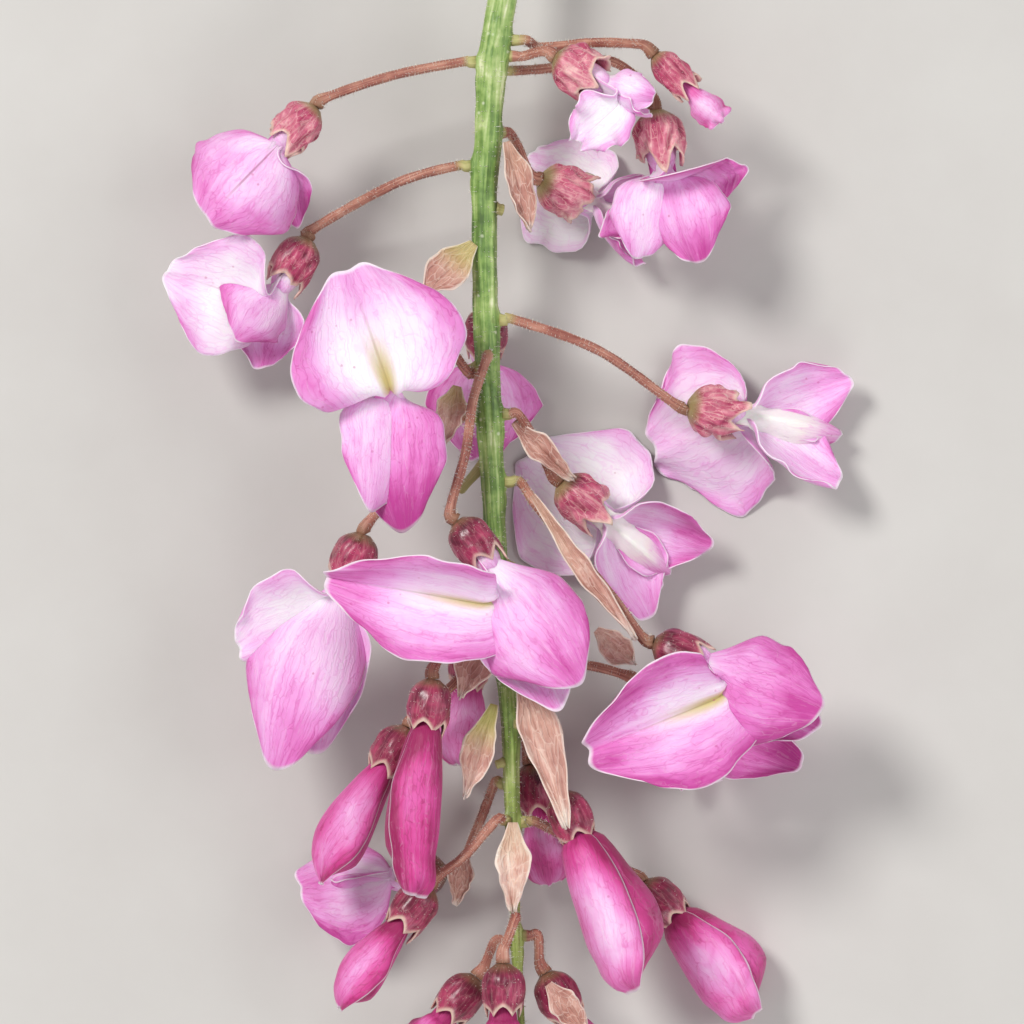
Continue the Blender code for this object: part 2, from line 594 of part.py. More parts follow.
def blade_solid(name, grid, thick):
    """A blade of even thickness, split into triangles alike on both faces."""
    rows, columns = grid.shape[:2]
    normal = np.cross(np.gradient(grid, axis=1), np.gradient(grid, axis=0))
    normal = normal / np.linalg.norm(normal, axis=2)[..., None] * thick / 2
    points = np.concatenate([(grid + normal).reshape(-1, 3), (grid - normal).reshape(-1, 3)])
    under = rows * columns
    faces = []
    for i in range(rows - 1):
        for j in range(columns - 1):
            a, b = i * columns + j, i * columns + j + 1
            c, d = b + columns, a + columns
            pair = ((a, b, c), (a, c, d)) if j < columns // 2 else ((a, b, d), (b, c, d))
            for one, two, three in pair:
                faces.append((one, two, three))
                faces.append((under + one, under + three, under + two))
    edge = grid_edge(rows, columns)
    for a, b in zip(edge, edge[1:] + edge[:1]):
        faces.append((a, under + a, under + b))
        faces.append((a, under + b, b))
    return new_object(name, points, faces)


def ring_solid(name, rings):
    """A closed body through rings of points, with flat ends."""
    count, columns = rings.shape[:2]
    faces = [tuple(range(columns - 1, -1, -1))]
    for i in range(count - 1):
        for j in range(columns):
            a, b = i * columns + j, i * columns + (j + 1) % columns
            c, d = b + columns, a + columns
            faces.append((a, b, c))
            faces.append((a, c, d))
    faces.append(tuple((count - 1) * columns + j for j in range(columns)))
    return new_object(name, rings.reshape(-1, 3), faces)


def keep_outer_shell(mesh):
    """Leave only the largest closed shell of a mesh, without sealed hollows or loose scraps."""
    work = bmesh.new()
    work.from_mesh(mesh)
    left, shells = set(work.faces), []
    while left:
        shell = [left.pop()]
        reach = list(shell)
        while reach:
            for edge in reach.pop().edges:
                beside = [face for face in edge.link_faces if face in left]
                left.difference_update(beside)
                shell += beside
                reach += beside
        shells.append(shell)
    shells.sort(key=len, reverse=True)
    bmesh.ops.delete(work, geom=[face for shell in shells[1:] for face in shell], context="FACES")
    work.to_mesh(mesh)
    work.free()


def fused(name, solids):
    """One body from several that cross, by a single union."""
    first, others = solids[0], solids[1:]
    first.name = name
    if others:
        group = bpy.data.collections.new(name + "_parts")
        for other in others:
            group.objects.link(other)
        union = first.modifiers.new("union", "BOOLEAN")
        union.operation = "UNION"
        union.operand_type = "COLLECTION"
        union.collection = group
        union.solver = "MANIFOLD"
        bpy.context.view_layer.update()
        whole = first.evaluated_get(bpy.context.evaluated_depsgraph_get())
        mesh = bpy.data.meshes.new_from_object(whole)
        first.modifiers.clear()
        first.data = mesh
        for other in others:
            bpy.data.objects.remove(other)
        bpy.data.collections.remove(group)
        keep_outer_shell(first.data)
    first.data.name = name
    return first


def flatten_below(made, level):
    """Cut a body flat at a level and close the cut, for the small spots that it rests on."""
    work = bmesh.new()
    work.from_mesh(made.data)
    geometry = [*work.verts, *work.edges, *work.faces]
    bmesh.ops.bisect_plane(
        work, geom=geometry, dist=1e-7, plane_co=(0, 0, level * MM), plane_no=(0, 0, 1), clear_inner=True
    )
    open_edges = [edge for edge in work.edges if edge.is_boundary]
    bmesh.ops.holes_fill(work, edges=open_edges, sides=0)
    bmesh.ops.recalc_face_normals(work, faces=work.faces)
    work.to_mesh(made.data)
    work.free()
    keep_outer_shell(made.data)


def plug_solid(flower):
    """The petals' common foot, which stands in the cup."""
    axis, back, _ = directions(*flower["turn"])
    base = np.array(flower["at"])
    low, high = CUP_LONG - SOCKET_DEEP + GAP, PETAL_ROOT + PETAL_CLAW - GAP
    around, wide = even_angles(PLUG_SIDES), plug_wide(flower)
    rings = [
        ring_points(base + axis * low, axis, back, wide, around),
        ring_points(base + axis * high, axis, back, wide * PLUG_TAPER, around),
    ]
    return ring_solid("plug", np.array(rings))


def petals_body(name, flower):
    if "bud" in flower:
        body = ring_solid(name, bud_rings(flower))
    else:
        blades = [blade_solid("petal", grid, PETAL_THICK) for grid in petal_grids(flower)]
        body = fused(name, [plug_solid(flower), *blades])
    flatten_below(body, REST_Z)
    return body


def bract_solid(name, look):
    look = {**BRACT, **look}
    along, face, _ = directions(*look.pop("turn"))
    rows, columns = BRACT_GRID
    grid = blade(look.pop("root"), along, face, rows=rows, columns=columns, **look)
    return blade_solid(name, grid, BRACT_THICK)


def stalk_body(name, flower):
    solids = [ring_solid(name, stalk_rings(flower))]
    if "bract" in flower:
        solids.append(bract_solid("bract", flower["bract"]))
    return fused(name, solids)


def stem_body(name, flowers):
    """The stem, with a ring of points at each knob and between each two."""
    knobs = sorted({flower["node"][0] for flower in flowers.values()})
    heights = [STEM[-1][1], *knobs, STEM[0][1]]
    between = [(low + high) / 2 for low, high in zip(heights, heights[1:]) if high - low > KNOB_LONG * 2]
    rings = [stem_ring(flowers, height) for height in sorted(heights + between, reverse=True)]
    return ring_solid(name, np.array(rings))


def painted(made, colour, roughness):
    material = bpy.data.materials.new(made.name)
    material.use_nodes = True
    shader = material.node_tree.nodes["Principled BSDF"]
    shader.inputs["Base Color"].default_value = (*colour, 1)
    shader.inputs["Roughness"].default_value = roughness
    shader.inputs["Metallic"].default_value = 0
    made.data.materials.clear()
    made.data.materials.append(material)
    made.data.shade_smooth()
    made.data.set_sharp_from_angle(angle=math.radians(50))
    return made


def set_on_origin(objects):
    """Move everything so that the middle of its underside is the origin."""
    corners = np.array([vertex.co for made in objects for vertex in made.data.vertices])
    low, high = corners.min(axis=0), corners.max(axis=0)
    shift = -np.array([(low[0] + high[0]) / 2, (low[1] + high[1]) / 2, low[2]])
    for made in objects:
        for vertex in made.data.vertices:
            vertex.co = np.array(vertex.co) + shift


def main():
    for old in list(bpy.data.objects):
        bpy.data.objects.remove(old)
    flowers = all_flowers()
    made = [painted(stem_body("stem", flowers), STEM_GREEN, 0.5)]
    for name, flower in flowers.items():
        pink = BUD_PINK if "bud" in flower else PETAL_PINK
        made.append(painted(petals_body("petals_" + name, flower), pink, 0.55))
        made.append(painted(stalk_body("stalk_" + name, flower), STALK_RED, 0.6))
    for name, look in BRACTS.items():
        made.append(painted(bract_solid("bract_" + name, look), BRACT_TAN, 0.75))
    set_on_origin(made)


main()
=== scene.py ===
"""A wisteria raceme as a detailed model, lying on a pale floor and seen from straight above.

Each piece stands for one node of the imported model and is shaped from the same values, in
millimetres and degrees about the stem: X to the right, Y to the cut end and Z up."""
import math

import bpy
import numpy as np
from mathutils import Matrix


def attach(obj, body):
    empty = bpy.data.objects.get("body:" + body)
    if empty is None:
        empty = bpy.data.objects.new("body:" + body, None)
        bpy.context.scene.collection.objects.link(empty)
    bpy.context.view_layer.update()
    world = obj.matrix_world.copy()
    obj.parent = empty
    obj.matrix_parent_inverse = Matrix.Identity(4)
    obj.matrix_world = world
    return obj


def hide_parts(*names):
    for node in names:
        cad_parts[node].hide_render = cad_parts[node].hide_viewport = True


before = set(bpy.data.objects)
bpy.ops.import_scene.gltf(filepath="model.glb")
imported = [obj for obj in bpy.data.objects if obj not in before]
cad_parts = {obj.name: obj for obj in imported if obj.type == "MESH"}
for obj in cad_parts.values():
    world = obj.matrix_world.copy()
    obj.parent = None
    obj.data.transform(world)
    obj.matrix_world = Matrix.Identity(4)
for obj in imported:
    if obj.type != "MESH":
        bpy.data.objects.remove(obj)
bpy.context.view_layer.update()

# A millimetre in the scene's metres.
MM = 0.001
# A length that counts as none.
TINY = 1e-30

# Smallest space between two pieces.
GAP = 0.3

PETAL_THICK = 0.65
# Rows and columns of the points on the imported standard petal, and a packed keel's columns.
PETAL_GRID = (6, 5)
KEEL_COLUMNS = 3

# The cup that holds a flower's petals.
CUP_LONG = 4.6
CUP_WIDE = 2.35
CUP_WALL = 0.45
SOCKET_DEEP = 2.0
TEETH = 5
TOOTH = 0.8
LOWER_TOOTH = 0.5

# The petals start in the cup and stay narrow as far as its teeth.
PETAL_ROOT = CUP_LONG - SOCKET_DEEP + GAP + 0.3
PETAL_CLAW = CUP_LONG + TOOTH / 2 + GAP + PETAL_THICK / 2 - PETAL_ROOT
PETAL_NARROW = 1.15
STANDARD_NARROW = 1.4
STANDARD_FOOT = 0.85
WING_FOOT = 0.8
KEEL_FOOT = 0.7
PLUG_CLEAR = 0.65

# The stalk from the stem to the cup.
STALK_WIDE = 0.5
STALK_END = 1.3
NECK_SWELL = 1.5

# A knob on the stem at the foot of each stalk.
KNOB_OUT = 0.5
KNOB_LONG = 0.9
KNOB_TURN = 30
STEM_SIDES = 8

# How far a closed bud's outer petal wraps round from its back, and how far it stands out.
BUD_EDGE = 118
BUD_STEP = 6
BUD_LAYER = 0.45
BUD_RINGS = 6
BUD_SIDES = 5
BUD_SLIM = 0.12
BUD_TIP = 0.25

# The surface's height, with the stem at 0, and the flowers that are moved to rest on it.
REST_Z = -12.0
REST_CUT = 0.35
RESTING = ("04", "08", "09", "10", "18", "22")

# The stem's middle line from the cut end to the tip: X, Y, Z and radius.
STEM = (
    (-0.6, 61.0, 0.0, 1.60), (-1.0, 51.0, 0.0, 1.50), (-2.0, 45.2, 0.2, 1.42),
    (-2.4, 38.2, 0.0, 1.35), (-2.8, 31.2, 0.0, 1.25), (-2.7, 21.2, 0.2, 1.22),
    (-2.4, 13.2, 0.0, 1.20), (-2.1, 6.0, -0.2, 1.15), (-1.8, -1.0, 0.0, 1.05),
    (-1.2, -8.0, -0.2, 1.00), (-0.6, -14.8, 0.0, 0.95), (-0.2, -21.0, 0.0, 0.90),
    (0.0, -27.0, 0.0, 0.78), (0.1, -33.0, -0.3, 0.62), (0.3, -40.0, -0.8, 0.50),
    (0.7, -47.0, -1.2, 0.42), (1.0, -52.5, -1.4, 0.34),
)

# Half widths of each kind of blade from its foot to its tip, as shares of its greatest half width.
OUTLINES = {
    "standard": (
        (0, 0.12), (0.06, 0.30), (0.16, 0.74), (0.32, 0.97), (0.52, 1.0), (0.72, 0.92), (0.88, 0.74),
        (1, 0.55),
    ),
    "hood": ((0, 0.16), (0.10, 0.62), (0.30, 0.92), (0.54, 1.0), (0.76, 0.91), (0.90, 0.74), (1, 0.58)),
    "wing": ((0, 0.18), (0.10, 0.40), (0.30, 0.90), (0.54, 1.0), (0.76, 0.90), (0.90, 0.71), (1, 0.54)),
    "keel": ((0, 0.28), (0.20, 0.70), (0.52, 1.0), (0.82, 0.88), (1, 0.50)),
    "bract": ((0, 0.24), (0.14, 0.48), (0.40, 1.0), (0.62, 0.92), (0.84, 0.45), (1, 0.07)),
}

# A closed bud's radius from the cup's mouth to its tip, as shares of its greatest radius.
BUD_OUTLINE = ((0, 0.62), (0.10, 0.74), (0.34, 0.92), (0.60, 1.0), (0.82, 0.82), (0.94, 0.48), (1, 0.14))

STANDARD = dict(
    kind="standard", length=14.0, half=9.0, reflex=130, fold=12, arc=28, margin=-22, notch=0.05,
    round_tip=0.20, wave=0.3, claw=0.6,
)
WING = dict(
    kind="wing", length=12.0, half=4.9, splay=10, droop=8, spin=0, arc=55, round_tip=0.16, wave=0.15,
    bend=((0, 0), (0.3, 12), (1, -22)), skew=0.12,
)
KEEL = dict(
    kind="keel", length=9.5, half=3.0, droop=6, fold=55, arc=20, round_tip=0.05,
    bend=((0, 6), (0.3, 0), (1, -38)),
)
BRACT = dict(kind="bract", fold=14, arc=20, bend=0, round_tip=0)

# Each flower's cup is at a place and turned by its heading, tilt and roll. Its stalk leaves the stem
# at a node, which is a height and an angle round the stem, and passes the via points.
OPEN_FLOWERS = {
    "01": dict(
        at=(-19.6, 40.4, 1.0), turn=(-134, 4, 4), node=(45.0, 175), via=((-11.9, 43.6, 1.4),),
        cup_wide=2.1,
        standard=dict(
            kind="hood", length=10.4, half=8.2, reflex=8, fold=4, arc=60, margin=10, claw=0, bend=-24,
        ),
        wings=dict(length=8.0, half=2.3, droop=44, splay=0),
        left_wing=dict(aim=(-74, -36, 0), length=9.2, half=2.6),
    ),
    "02": dict(
        at=(-20.5, 27.4, -4.6), turn=(-120, 4, 80), node=(34.6, 175), via=((-11.4, 32.9, 1.0),),
        standard=dict(length=11.4, half=6.6, aim=(161, 6, -12), arc=20, claw=1.0),
        wings=dict(length=8.7, half=4.6),
        left_wing=dict(length=7.3, droop=-16),
        right_wing=dict(droop=22),
    ),
    "03": dict(
        at=(-11.4, 18.0, 4.2), turn=(-96, 26, 0), node=(14.0, 150), via=((-6.8, 16.8, 2.2),),
        standard=dict(
            length=15.6, half=9.2, aim=(109, 12, 8), fold=6, arc=14, margin=-30, notch=0.03, claw=0.4,
        ),
        wings=dict(length=15.4, half=5.2, arc=50),
        left_wing=dict(aim=(-87, 1, 200), half=5.8),
        right_wing=dict(aim=(-96, 6, 150), half=5.0, length=13.4),
    ),
    "04": dict(
        at=(-2.6, 20.6, -10.0), turn=(-92, -8, 0), node=(23.5, -95), via=((-2.8, 23.6, -6.0),),
        standard=dict(kind="hood", length=10.4, half=7.0, reflex=8, fold=4, arc=66, claw=0, bend=-24),
        wings=dict(length=8.4, half=3.0, droop=30, splay=2),
    ),
    "05": dict(
        at=(4.4, 45.4, 1.5), turn=(-30, 10, 60), node=(45.6, 10), via=(),
        standard=dict(length=7.2, half=3.3, aim=(-138, -20, 0), fold=10, arc=20, wave=0.5, claw=1.6),
        wings=dict(length=5.6, half=2.6, splay=8, spin=-40),
    ),
    "07": dict(
        at=(14.3, 40.2, -1.2), turn=(-82, 4, 176), node=(44.2, -45),
        via=((4.0, 44.6, -4.4), (9.6, 45.4, -5.2), (12.8, 43.4, -4.8)),
        standard=dict(kind="hood", length=6.6, half=8.2, aim=(-66, -15, 178), fold=4, arc=18, claw=0.8),
        wings=dict(length=10.6, half=4.8, arc=45),
        left_wing=dict(aim=(-102, -6, 160), length=9.6, half=3.9),
        right_wing=dict(aim=(-74, 4, 200), half=4.6),
    ),
    "08": dict(
        at=(2.9, 33.4, -4.0), turn=(-24, -22, 165), node=(38.0, -60), via=((0.6, 36.6, -3.4),),
        standard=dict(length=11.2, half=6.6, aim=(148, -16, 180), fold=8, arc=16, claw=0.4),
        wings=dict(length=8.3, half=4.3, splay=26, spin=-42),
        keel=dict(length=7.4, half=2.2),
    ),
    "09": dict(
        at=(17.7, 10.6, -2.5), turn=(-10, -14, 165), node=(19.2, 0), via=((8.8, 16.1, 0.0),),
        standard=dict(length=12.8, half=9.2, aim=(-162, -14, 172), fold=8, arc=16, claw=0),
        wings=dict(length=12.1, half=4.6, splay=26, spin=-62),
        keel=dict(length=11.2, half=3.0, fold=40),
    ),
    "10": dict(
        at=(4.9, 3.0, -4.5), turn=(-40, -14, 180), node=(9.8, -20), via=((2.4, 7.0, -2.4),),
        standard=dict(length=14.0, half=8.8, aim=(140, -14, 180), fold=8, arc=16, claw=0.4),
        wings=dict(length=11.4, half=4.9, splay=24, spin=-62),
        keel=dict(length=9.6, half=3.0, fold=40),
        bract=dict(root=(0.6, 8.6, -0.9), turn=(-44, -8, 10), length=7.8, half=1.5, fold=20),
    ),
    "11": dict(
        at=(-5.4, -0.9, 6.5), turn=(-53, 6, 90), node=(15.4, 100), via=((-3.9, 11.0, 3.6), (-4.6, 6.0, 5.0)),
        standard=dict(length=20.2, half=7.2, aim=(170, 4, -20), fold=34, arc=20, margin=-20, claw=1.0),
        wings=dict(length=15.1, half=6.8, splay=4, droop=0),
        right_wing=dict(droop=-12, half=5.6, length=16.0),
    ),
    "12": dict(
        at=(-14.8, -2.2, 1.5), turn=(-112, -4, 90), node=(9.4, 165), via=((-8.6, 5.4, 1.6),),
        standard=dict(length=11.9, half=6.0, aim=(-151, -4, -14), fold=8, arc=30),
        wings=dict(length=19.8, half=6.6, splay=4, droop=2),
        right_wing=dict(droop=13, half=5.6, length=18.0, splay=7),
    ),
    "13": dict(
        at=(14.2, -13.0, 3.0), turn=(-22, 6, 90), node=(3.0, 20), via=((2.8, 0.2, 2.4), (9.8, -8.2, 3.4)),
        standard=dict(length=18.4, half=7.8, aim=(-158, 6, -14), fold=22, arc=20, margin=-20, claw=1.0),
        wings=dict(length=12.9, half=6.4, splay=5, droop=0),
        right_wing=dict(droop=-9, half=5.4, length=13.2),
    ),
    "14": dict(
        at=(12.6, -17.2, -6.6), turn=(-34, 6, 160), node=(-16.0, -60), via=((7.0, -15.4, -6.4),),
        standard=dict(length=9.4, half=5.6, reflex=75, fold=10, arc=16),
        wings=dict(length=13.4, half=4.6, splay=6, spin=-40),
        left_wing=dict(length=8.0, half=3.0, splay=28),
        bract=dict(root=(8.9, -12.2, -3.0), turn=(-42, 0, 0), length=4.6, half=1.7),
    ),
    "18": dict(
        at=(-6.6, -36.2, -5.0), turn=(-172, -4, 30), node=(-27.2, -130), via=((-3.4, -31.6, -4.6),),
        standard=dict(kind="hood", length=9.7, half=7.0, reflex=12, fold=4, arc=60, claw=0, bend=-14),
        wings=dict(length=8.4, half=3.8, droop=28, splay=4),
        bract=dict(root=(-4.8, -34.6, -2.0), turn=(-100, 0, 0), length=4.8, half=1.4),
    ),
}

BUDS = {
    "06": dict(
        at=(14.2, 45.6, 2.2), turn=(-45, 0, 0), node=(47.2, -15),
        via=((3.0, 46.6, -2.2), (8.0, 47.0, -1.8), (12.0, 46.8, 0.6)),
        bud=dict(length=3.8, wide=1.4), cup_wide=1.6,
    ),
    "15": dict(
        at=(-7.9, -16.6, 6.2), turn=(-98, 0, 80), node=(-7.0, 110), via=((-5.2, -12.0, 5.0),),
        bud=dict(length=15.7, wide=3.1),
    ),
    "16": dict(
        at=(-10.4, -21.6, 0.2), turn=(-121, 0, 80), node=(-14.4, 170), via=((-5.8, -17.2, 1.4),),
        bud=dict(length=12.1, wide=2.9),
    ),
    "17": dict(
        at=(-3.9, -12.6, -5.4), turn=(-96, -6, 0), node=(-6.4, -120), via=((-3.4, -9.4, -4.6),),
        bud=dict(length=7.4, wide=2.4),
    ),
    "19": dict(
        at=(-8.2, -37.4, 2.0), turn=(-128, 0, 80), node=(-30.8, 150), via=((-4.8, -34.4, 2.4),),
        bud=dict(length=9.4, wide=2.5),
    ),
    "20": dict(
        at=(4.8, -28.0, 1.6), turn=(-66, 0, -72), node=(-21.2, 45), via=((3.0, -25.0, 1.8),),
        bud=dict(length=15.3, wide=4.2),
    ),
    "21": dict(
        at=(1.8, -25.4, -6.0), turn=(-80, -4, 0), node=(-20.4, -80), via=((1.2, -22.6, -4.0),),
        bud=dict(length=6.6, wide=2.2),
    ),
    "22": dict(
        at=(13.2, -37.4, -2.6), turn=(-46, -2, -72), node=(-31.0, -20), via=((6.6, -33.4, -3.0),),
        bud=dict(length=11.6, wide=4.1),
    ),
    "23": dict(
        at=(-0.9, -45.0, 3.4), turn=(-90, 0, 0), node=(-40.6, 90), via=((-0.5, -42.8, 2.8),),
        bud=dict(length=3.9, wide=2.3),
    ),
    "24": dict(
        at=(-3.6, -46.6, -1.6), turn=(-128, 0, 0), node=(-43.0, -160), via=(),
        bud=dict(length=3.9, wide=2.2),
    ),
    "25": dict(
        at=(3.4, -46.2, -1.4), turn=(-62, 0, 0), node=(-42.4, -20), via=(),
        bud=dict(length=4.9, wide=2.2),
        bract=dict(root=(4.0, -47.6, 1.6), turn=(-52, 0, 0), length=5.4, half=1.7),
    ),
}

# Bracts that stand free of every stalk.
BRACTS = {
    "01": dict(root=(-4.2, 26.4, 1.2), turn=(-132, 12, 10), length=7.6, half=2.2, bend=-20),
    "02": dict(root=(-5.6, 12.0, 1.1), turn=(-104, 6, 0), length=5.6, half=1.9, fold=20, bend=-20),
    "03": dict(root=(-0.4, 36.4, 1.5), turn=(-72, 6, -20), length=8.6, half=1.7, fold=16, bend=20),
    "05": dict(root=(2.4, 1.2, 4.0), turn=(-55, 4, 10), length=17.0, half=1.3, fold=30, arc=30, bend=4),
    "06": dict(root=(-2.3, -11.6, 1.9), turn=(-113, 10, 10), length=7.6, half=2.3, bend=10),
    "07": dict(root=(-1.9, -19.8, 1.0), turn=(-106, 6, 20), length=9.4, half=1.9, fold=20, arc=30, bend=-10),
    "08": dict(root=(0.8, -16.0, 1.6), turn=(-72, 17, -10), length=16.4, half=2.2, fold=12, arc=24, bend=12),
    "09": dict(root=(0.1, -31.6, 1.3), turn=(-90, 7, 0), length=8.4, half=2.0, arc=24, bend=14),
}


def unit(vectors):
    """A vector, or each vector of an array, at a length of 1. One without a length stays so."""
    vectors = np.asarray(vectors, float)
    return vectors / np.maximum(np.linalg.norm(vectors, axis=-1, keepdims=True), TINY)


def smooth_step(low, high, value):
    """A smooth rise from 0 at low to 1 at high."""
    t = np.clip((np.asarray(value, float) - low) / (high - low), 0, 1)
    return t * t * (3 - 2 * t)


def through(knots, at):
    """Smooth values at each place in at, through (place, value) knots and never past them."""
    x, y = np.array(knots, float).T
    gap = np.diff(x)
    slope = np.diff(y) / gap
    lean = np.concatenate([slope[:1], np.zeros(len(y) - 2), slope[-1:]])
    for i in range(1, len(y) - 1):
        if slope[i - 1] * slope[i] > 0:
            lean[i] = 2 * slope[i - 1] * slope[i] / (slope[i - 1] + slope[i])
    i = np.clip(np.searchsorted(x, at, side="right") - 1, 0, len(gap) - 1)
    t = (np.asarray(at, float) - x[i]) / gap[i]
    start = (1 + 2 * t) * (1 - t) ** 2 * y[i] + t * (1 - t) ** 2 * gap[i] * lean[i]
    end = t * t * (3 - 2 * t) * y[i + 1] + t * t * (t - 1) * gap[i] * lean[i + 1]
    return start + end


def curve_through(points, count, fine=24):
    """count points at even steps on a smooth curve through the given points."""
    p = np.array(points, float)
    ends = np.vstack([2 * p[0] - p[1], p, 2 * p[-1] - p[-2]])
    t = np.linspace(0, 1, fine, endpoint=False)[:, None]
    made = []
    for a, b, c, d in zip(ends, ends[1:], ends[2:], ends[3:]):
        square = (2 * a - 5 * b + 4 * c - d) * t**2
        cube = (3 * b - a - 3 * c + d) * t**3
        made.append((2 * b + (c - a) * t + square + cube) / 2)
    made = np.vstack([*made, p[-1:]])
    along = distances(made)
    at = np.linspace(0, along[-1], count)
    return np.stack([np.interp(at, along, made[:, k]) for k in range(3)], axis=1)


def distances(points):
    """How far along a line each of its points is."""
    steps = np.linalg.norm(np.diff(points, axis=0), axis=1)
    return np.concatenate([[0], np.cumsum(steps)])


def directions(heading, tilt, roll):
    """The axis, back and right directions of a flower or blade. heading is the axis's angle on the
    surface, tilt its rise above it, and roll turns the back from straight up about the axis."""
    h, t, r = (math.radians(angle) for angle in (heading, tilt, roll))
    axis = np.array([math.cos(h) * math.cos(t), math.sin(h) * math.cos(t), math.sin(t)])
    up = unit(np.array([0, 0, 1.0]) - axis[2] * axis)
    back = math.cos(r) * up + math.sin(r) * np.cross(axis, up)
    return axis, back, np.cross(axis, back)


def turned(vector, about, degrees):
    """A vector turned about a unit direction, by the right-hand rule."""
    a = math.radians(degrees)
    across = np.cross(about, vector) * math.sin(a)
    return vector * math.cos(a) + across + about * (about @ vector) * (1 - math.cos(a))


def turn_between(first, way, looks):
    """The direction to turn about, and the degrees, that bring a first frame onto a way and a look."""
    last = np.array([way, np.cross(way, looks), looks])
    matrix = last.T @ first
    angle = math.acos(max(-1.0, min(1.0, (np.trace(matrix) - 1) / 2)))
    pivot = np.array([matrix[2, 1] - matrix[1, 2], matrix[0, 2] - matrix[2, 0], matrix[1, 0] - matrix[0, 1]])
    return (unit(pivot) if np.linalg.norm(pivot) > 1e-6 else way), math.degrees(angle)


def midrib(root, along, face, whole, past, bend, last):
    """Points, ways, sides and faces down the middle of a blade, one for each value of past."""
    first = np.array([along, np.cross(along, face), face])
    pivot, swing = turn_between(first, *last) if last is not None else (along, 0)
    bends = through(bend, past) if np.ndim(bend) else bend * past
    swings = swing * smooth_step(-0.01, 0.22, past) * (past > 0)
    frames = []
    for away, swung in zip(bends, swings):
        way, side, looks = (turned(vector, pivot, swung) for vector in first)
        frames.append([turned(way, side, -away), side, turned(looks, side, -away)])
    frames = np.array(frames)
    steps = (frames[1:, 0] + frames[:-1, 0]) / 2 * whole / (len(past) - 1)
    spine = np.array(root, float) + np.vstack([np.zeros(3), np.cumsum(steps, axis=0)])
    return spine, frames


def blade(
    root, along, face, length, half, kind, rows, columns, claw=0.0, claw_half=1.0, last=None, bend=0, fold=0,
    arc=0, margin=0, round_tip=0.16, notch=0.0, wave=0.0, skew=0.0,
):
    """A petal or bract as a grid of points, rows from root to tip and columns from edge to edge.

    Its first claw millimetres are narrow and straight. Then it swings to the last way and look, if
    they are given. face is the direction that its inner side looks, and bend is the midrib's turning
    away from face. fold creases it along the midrib, arc curves it across and margin curls its
    edges, all towards face."""
    whole = claw + length
    share = claw / whole
    fine = np.linspace(0, 1, 161)
    spine, frames = midrib(root, along, face, whole, np.clip((fine - share) / (1 - share), 0, 1), bend, last)
    v = np.linspace(0, 1, rows)
    if claw:
        v = np.concatenate([[0], share + (1 - share) * np.linspace(0, 1, rows - 1) ** 1.2])
    w = np.clip((v - share) / (1 - share), 0, 1)
    spine, ways, sides, faces = (
        np.stack([np.interp(v, fine, table[:, k]) for k in range(3)], axis=1)
        for table in (spine, frames[:, 0], frames[:, 1], frames[:, 2])
    )
    u = np.linspace(-1, 1, columns)
    k = np.abs(u)
    reach = np.linspace(0, 1, 41)
    widths = np.maximum(half * through(OUTLINES[kind], w), claw_half if claw else 0)
    grid = np.zeros((rows, columns, 3))
    for i in range(rows):
        creased = smooth_step(0.0, 0.25, w[i])
        turn = np.radians(fold * creased + arc * reach + margin * smooth_step(0.5, 1.0, reach) * creased)
        out = np.concatenate([[0], np.cumsum(np.cos(turn))[:-1]]) / 40
        lift = np.concatenate([[0], np.cumsum(np.sin(turn))[:-1]]) / 40
        wide = widths[i] * (1 + skew * np.sign(u) * smooth_step(0.1, 0.5, w[i]))
        ripple = wave * k**2 * np.sin(4 * math.pi * w[i] + 1.7 * np.sign(u)) * smooth_step(0.15, 0.5, w[i])
        aside = np.sign(u) * np.interp(k, reach, out) * wide
        towards = np.interp(k, reach, lift) * wide + ripple
        drop = -round_tip * k**2.2 - notch * np.exp(-((u / 0.22) ** 2))
        drop = drop * smooth_step(0.35, 1.0, w[i]) * length
        grid[i] = spine[i] + sides[i] * aside[:, None] + faces[i] * towards[:, None] + ways[i] * drop[:, None]
    return grid


def plug_wide(flower):
    """The radius of the petals' common foot, which stands clear of the cup."""
    return flower.get("cup_wide", CUP_WIDE) - CUP_WALL - PLUG_CLEAR


def petal_blade(flower, look, foot, inner, rows, columns, last, claw=PETAL_CLAW, claw_half=PETAL_NARROW):
    """A petal whose narrow foot stands in the flower's cup, foot millimetres from the cup's middle."""
    axis = directions(*flower["turn"])[0]
    root = np.array(flower["at"]) + axis * PETAL_ROOT + foot
    size = dict(rows=rows, columns=columns, claw=claw, claw_half=claw_half)
    return blade(root, axis, inner, last=last, **size, **look)


def standard_petal(flower, rows, columns):
    """The big back petal. Past the cup it turns back by reflex degrees, or to its own aim."""
    axis, back, right = directions(*flower["turn"])
    look = {**STANDARD, **flower["standard"]}
    reflex, aim, claw = look.pop("reflex"), look.pop("aim", None), PETAL_CLAW + look.pop("claw")
    last = directions(*aim)[:2] if aim else (turned(axis, right, reflex), turned(-back, right, reflex))
    foot = back * STANDARD_FOOT
    return petal_blade(flower, look, foot, -back, rows, columns, last, claw, STANDARD_NARROW)


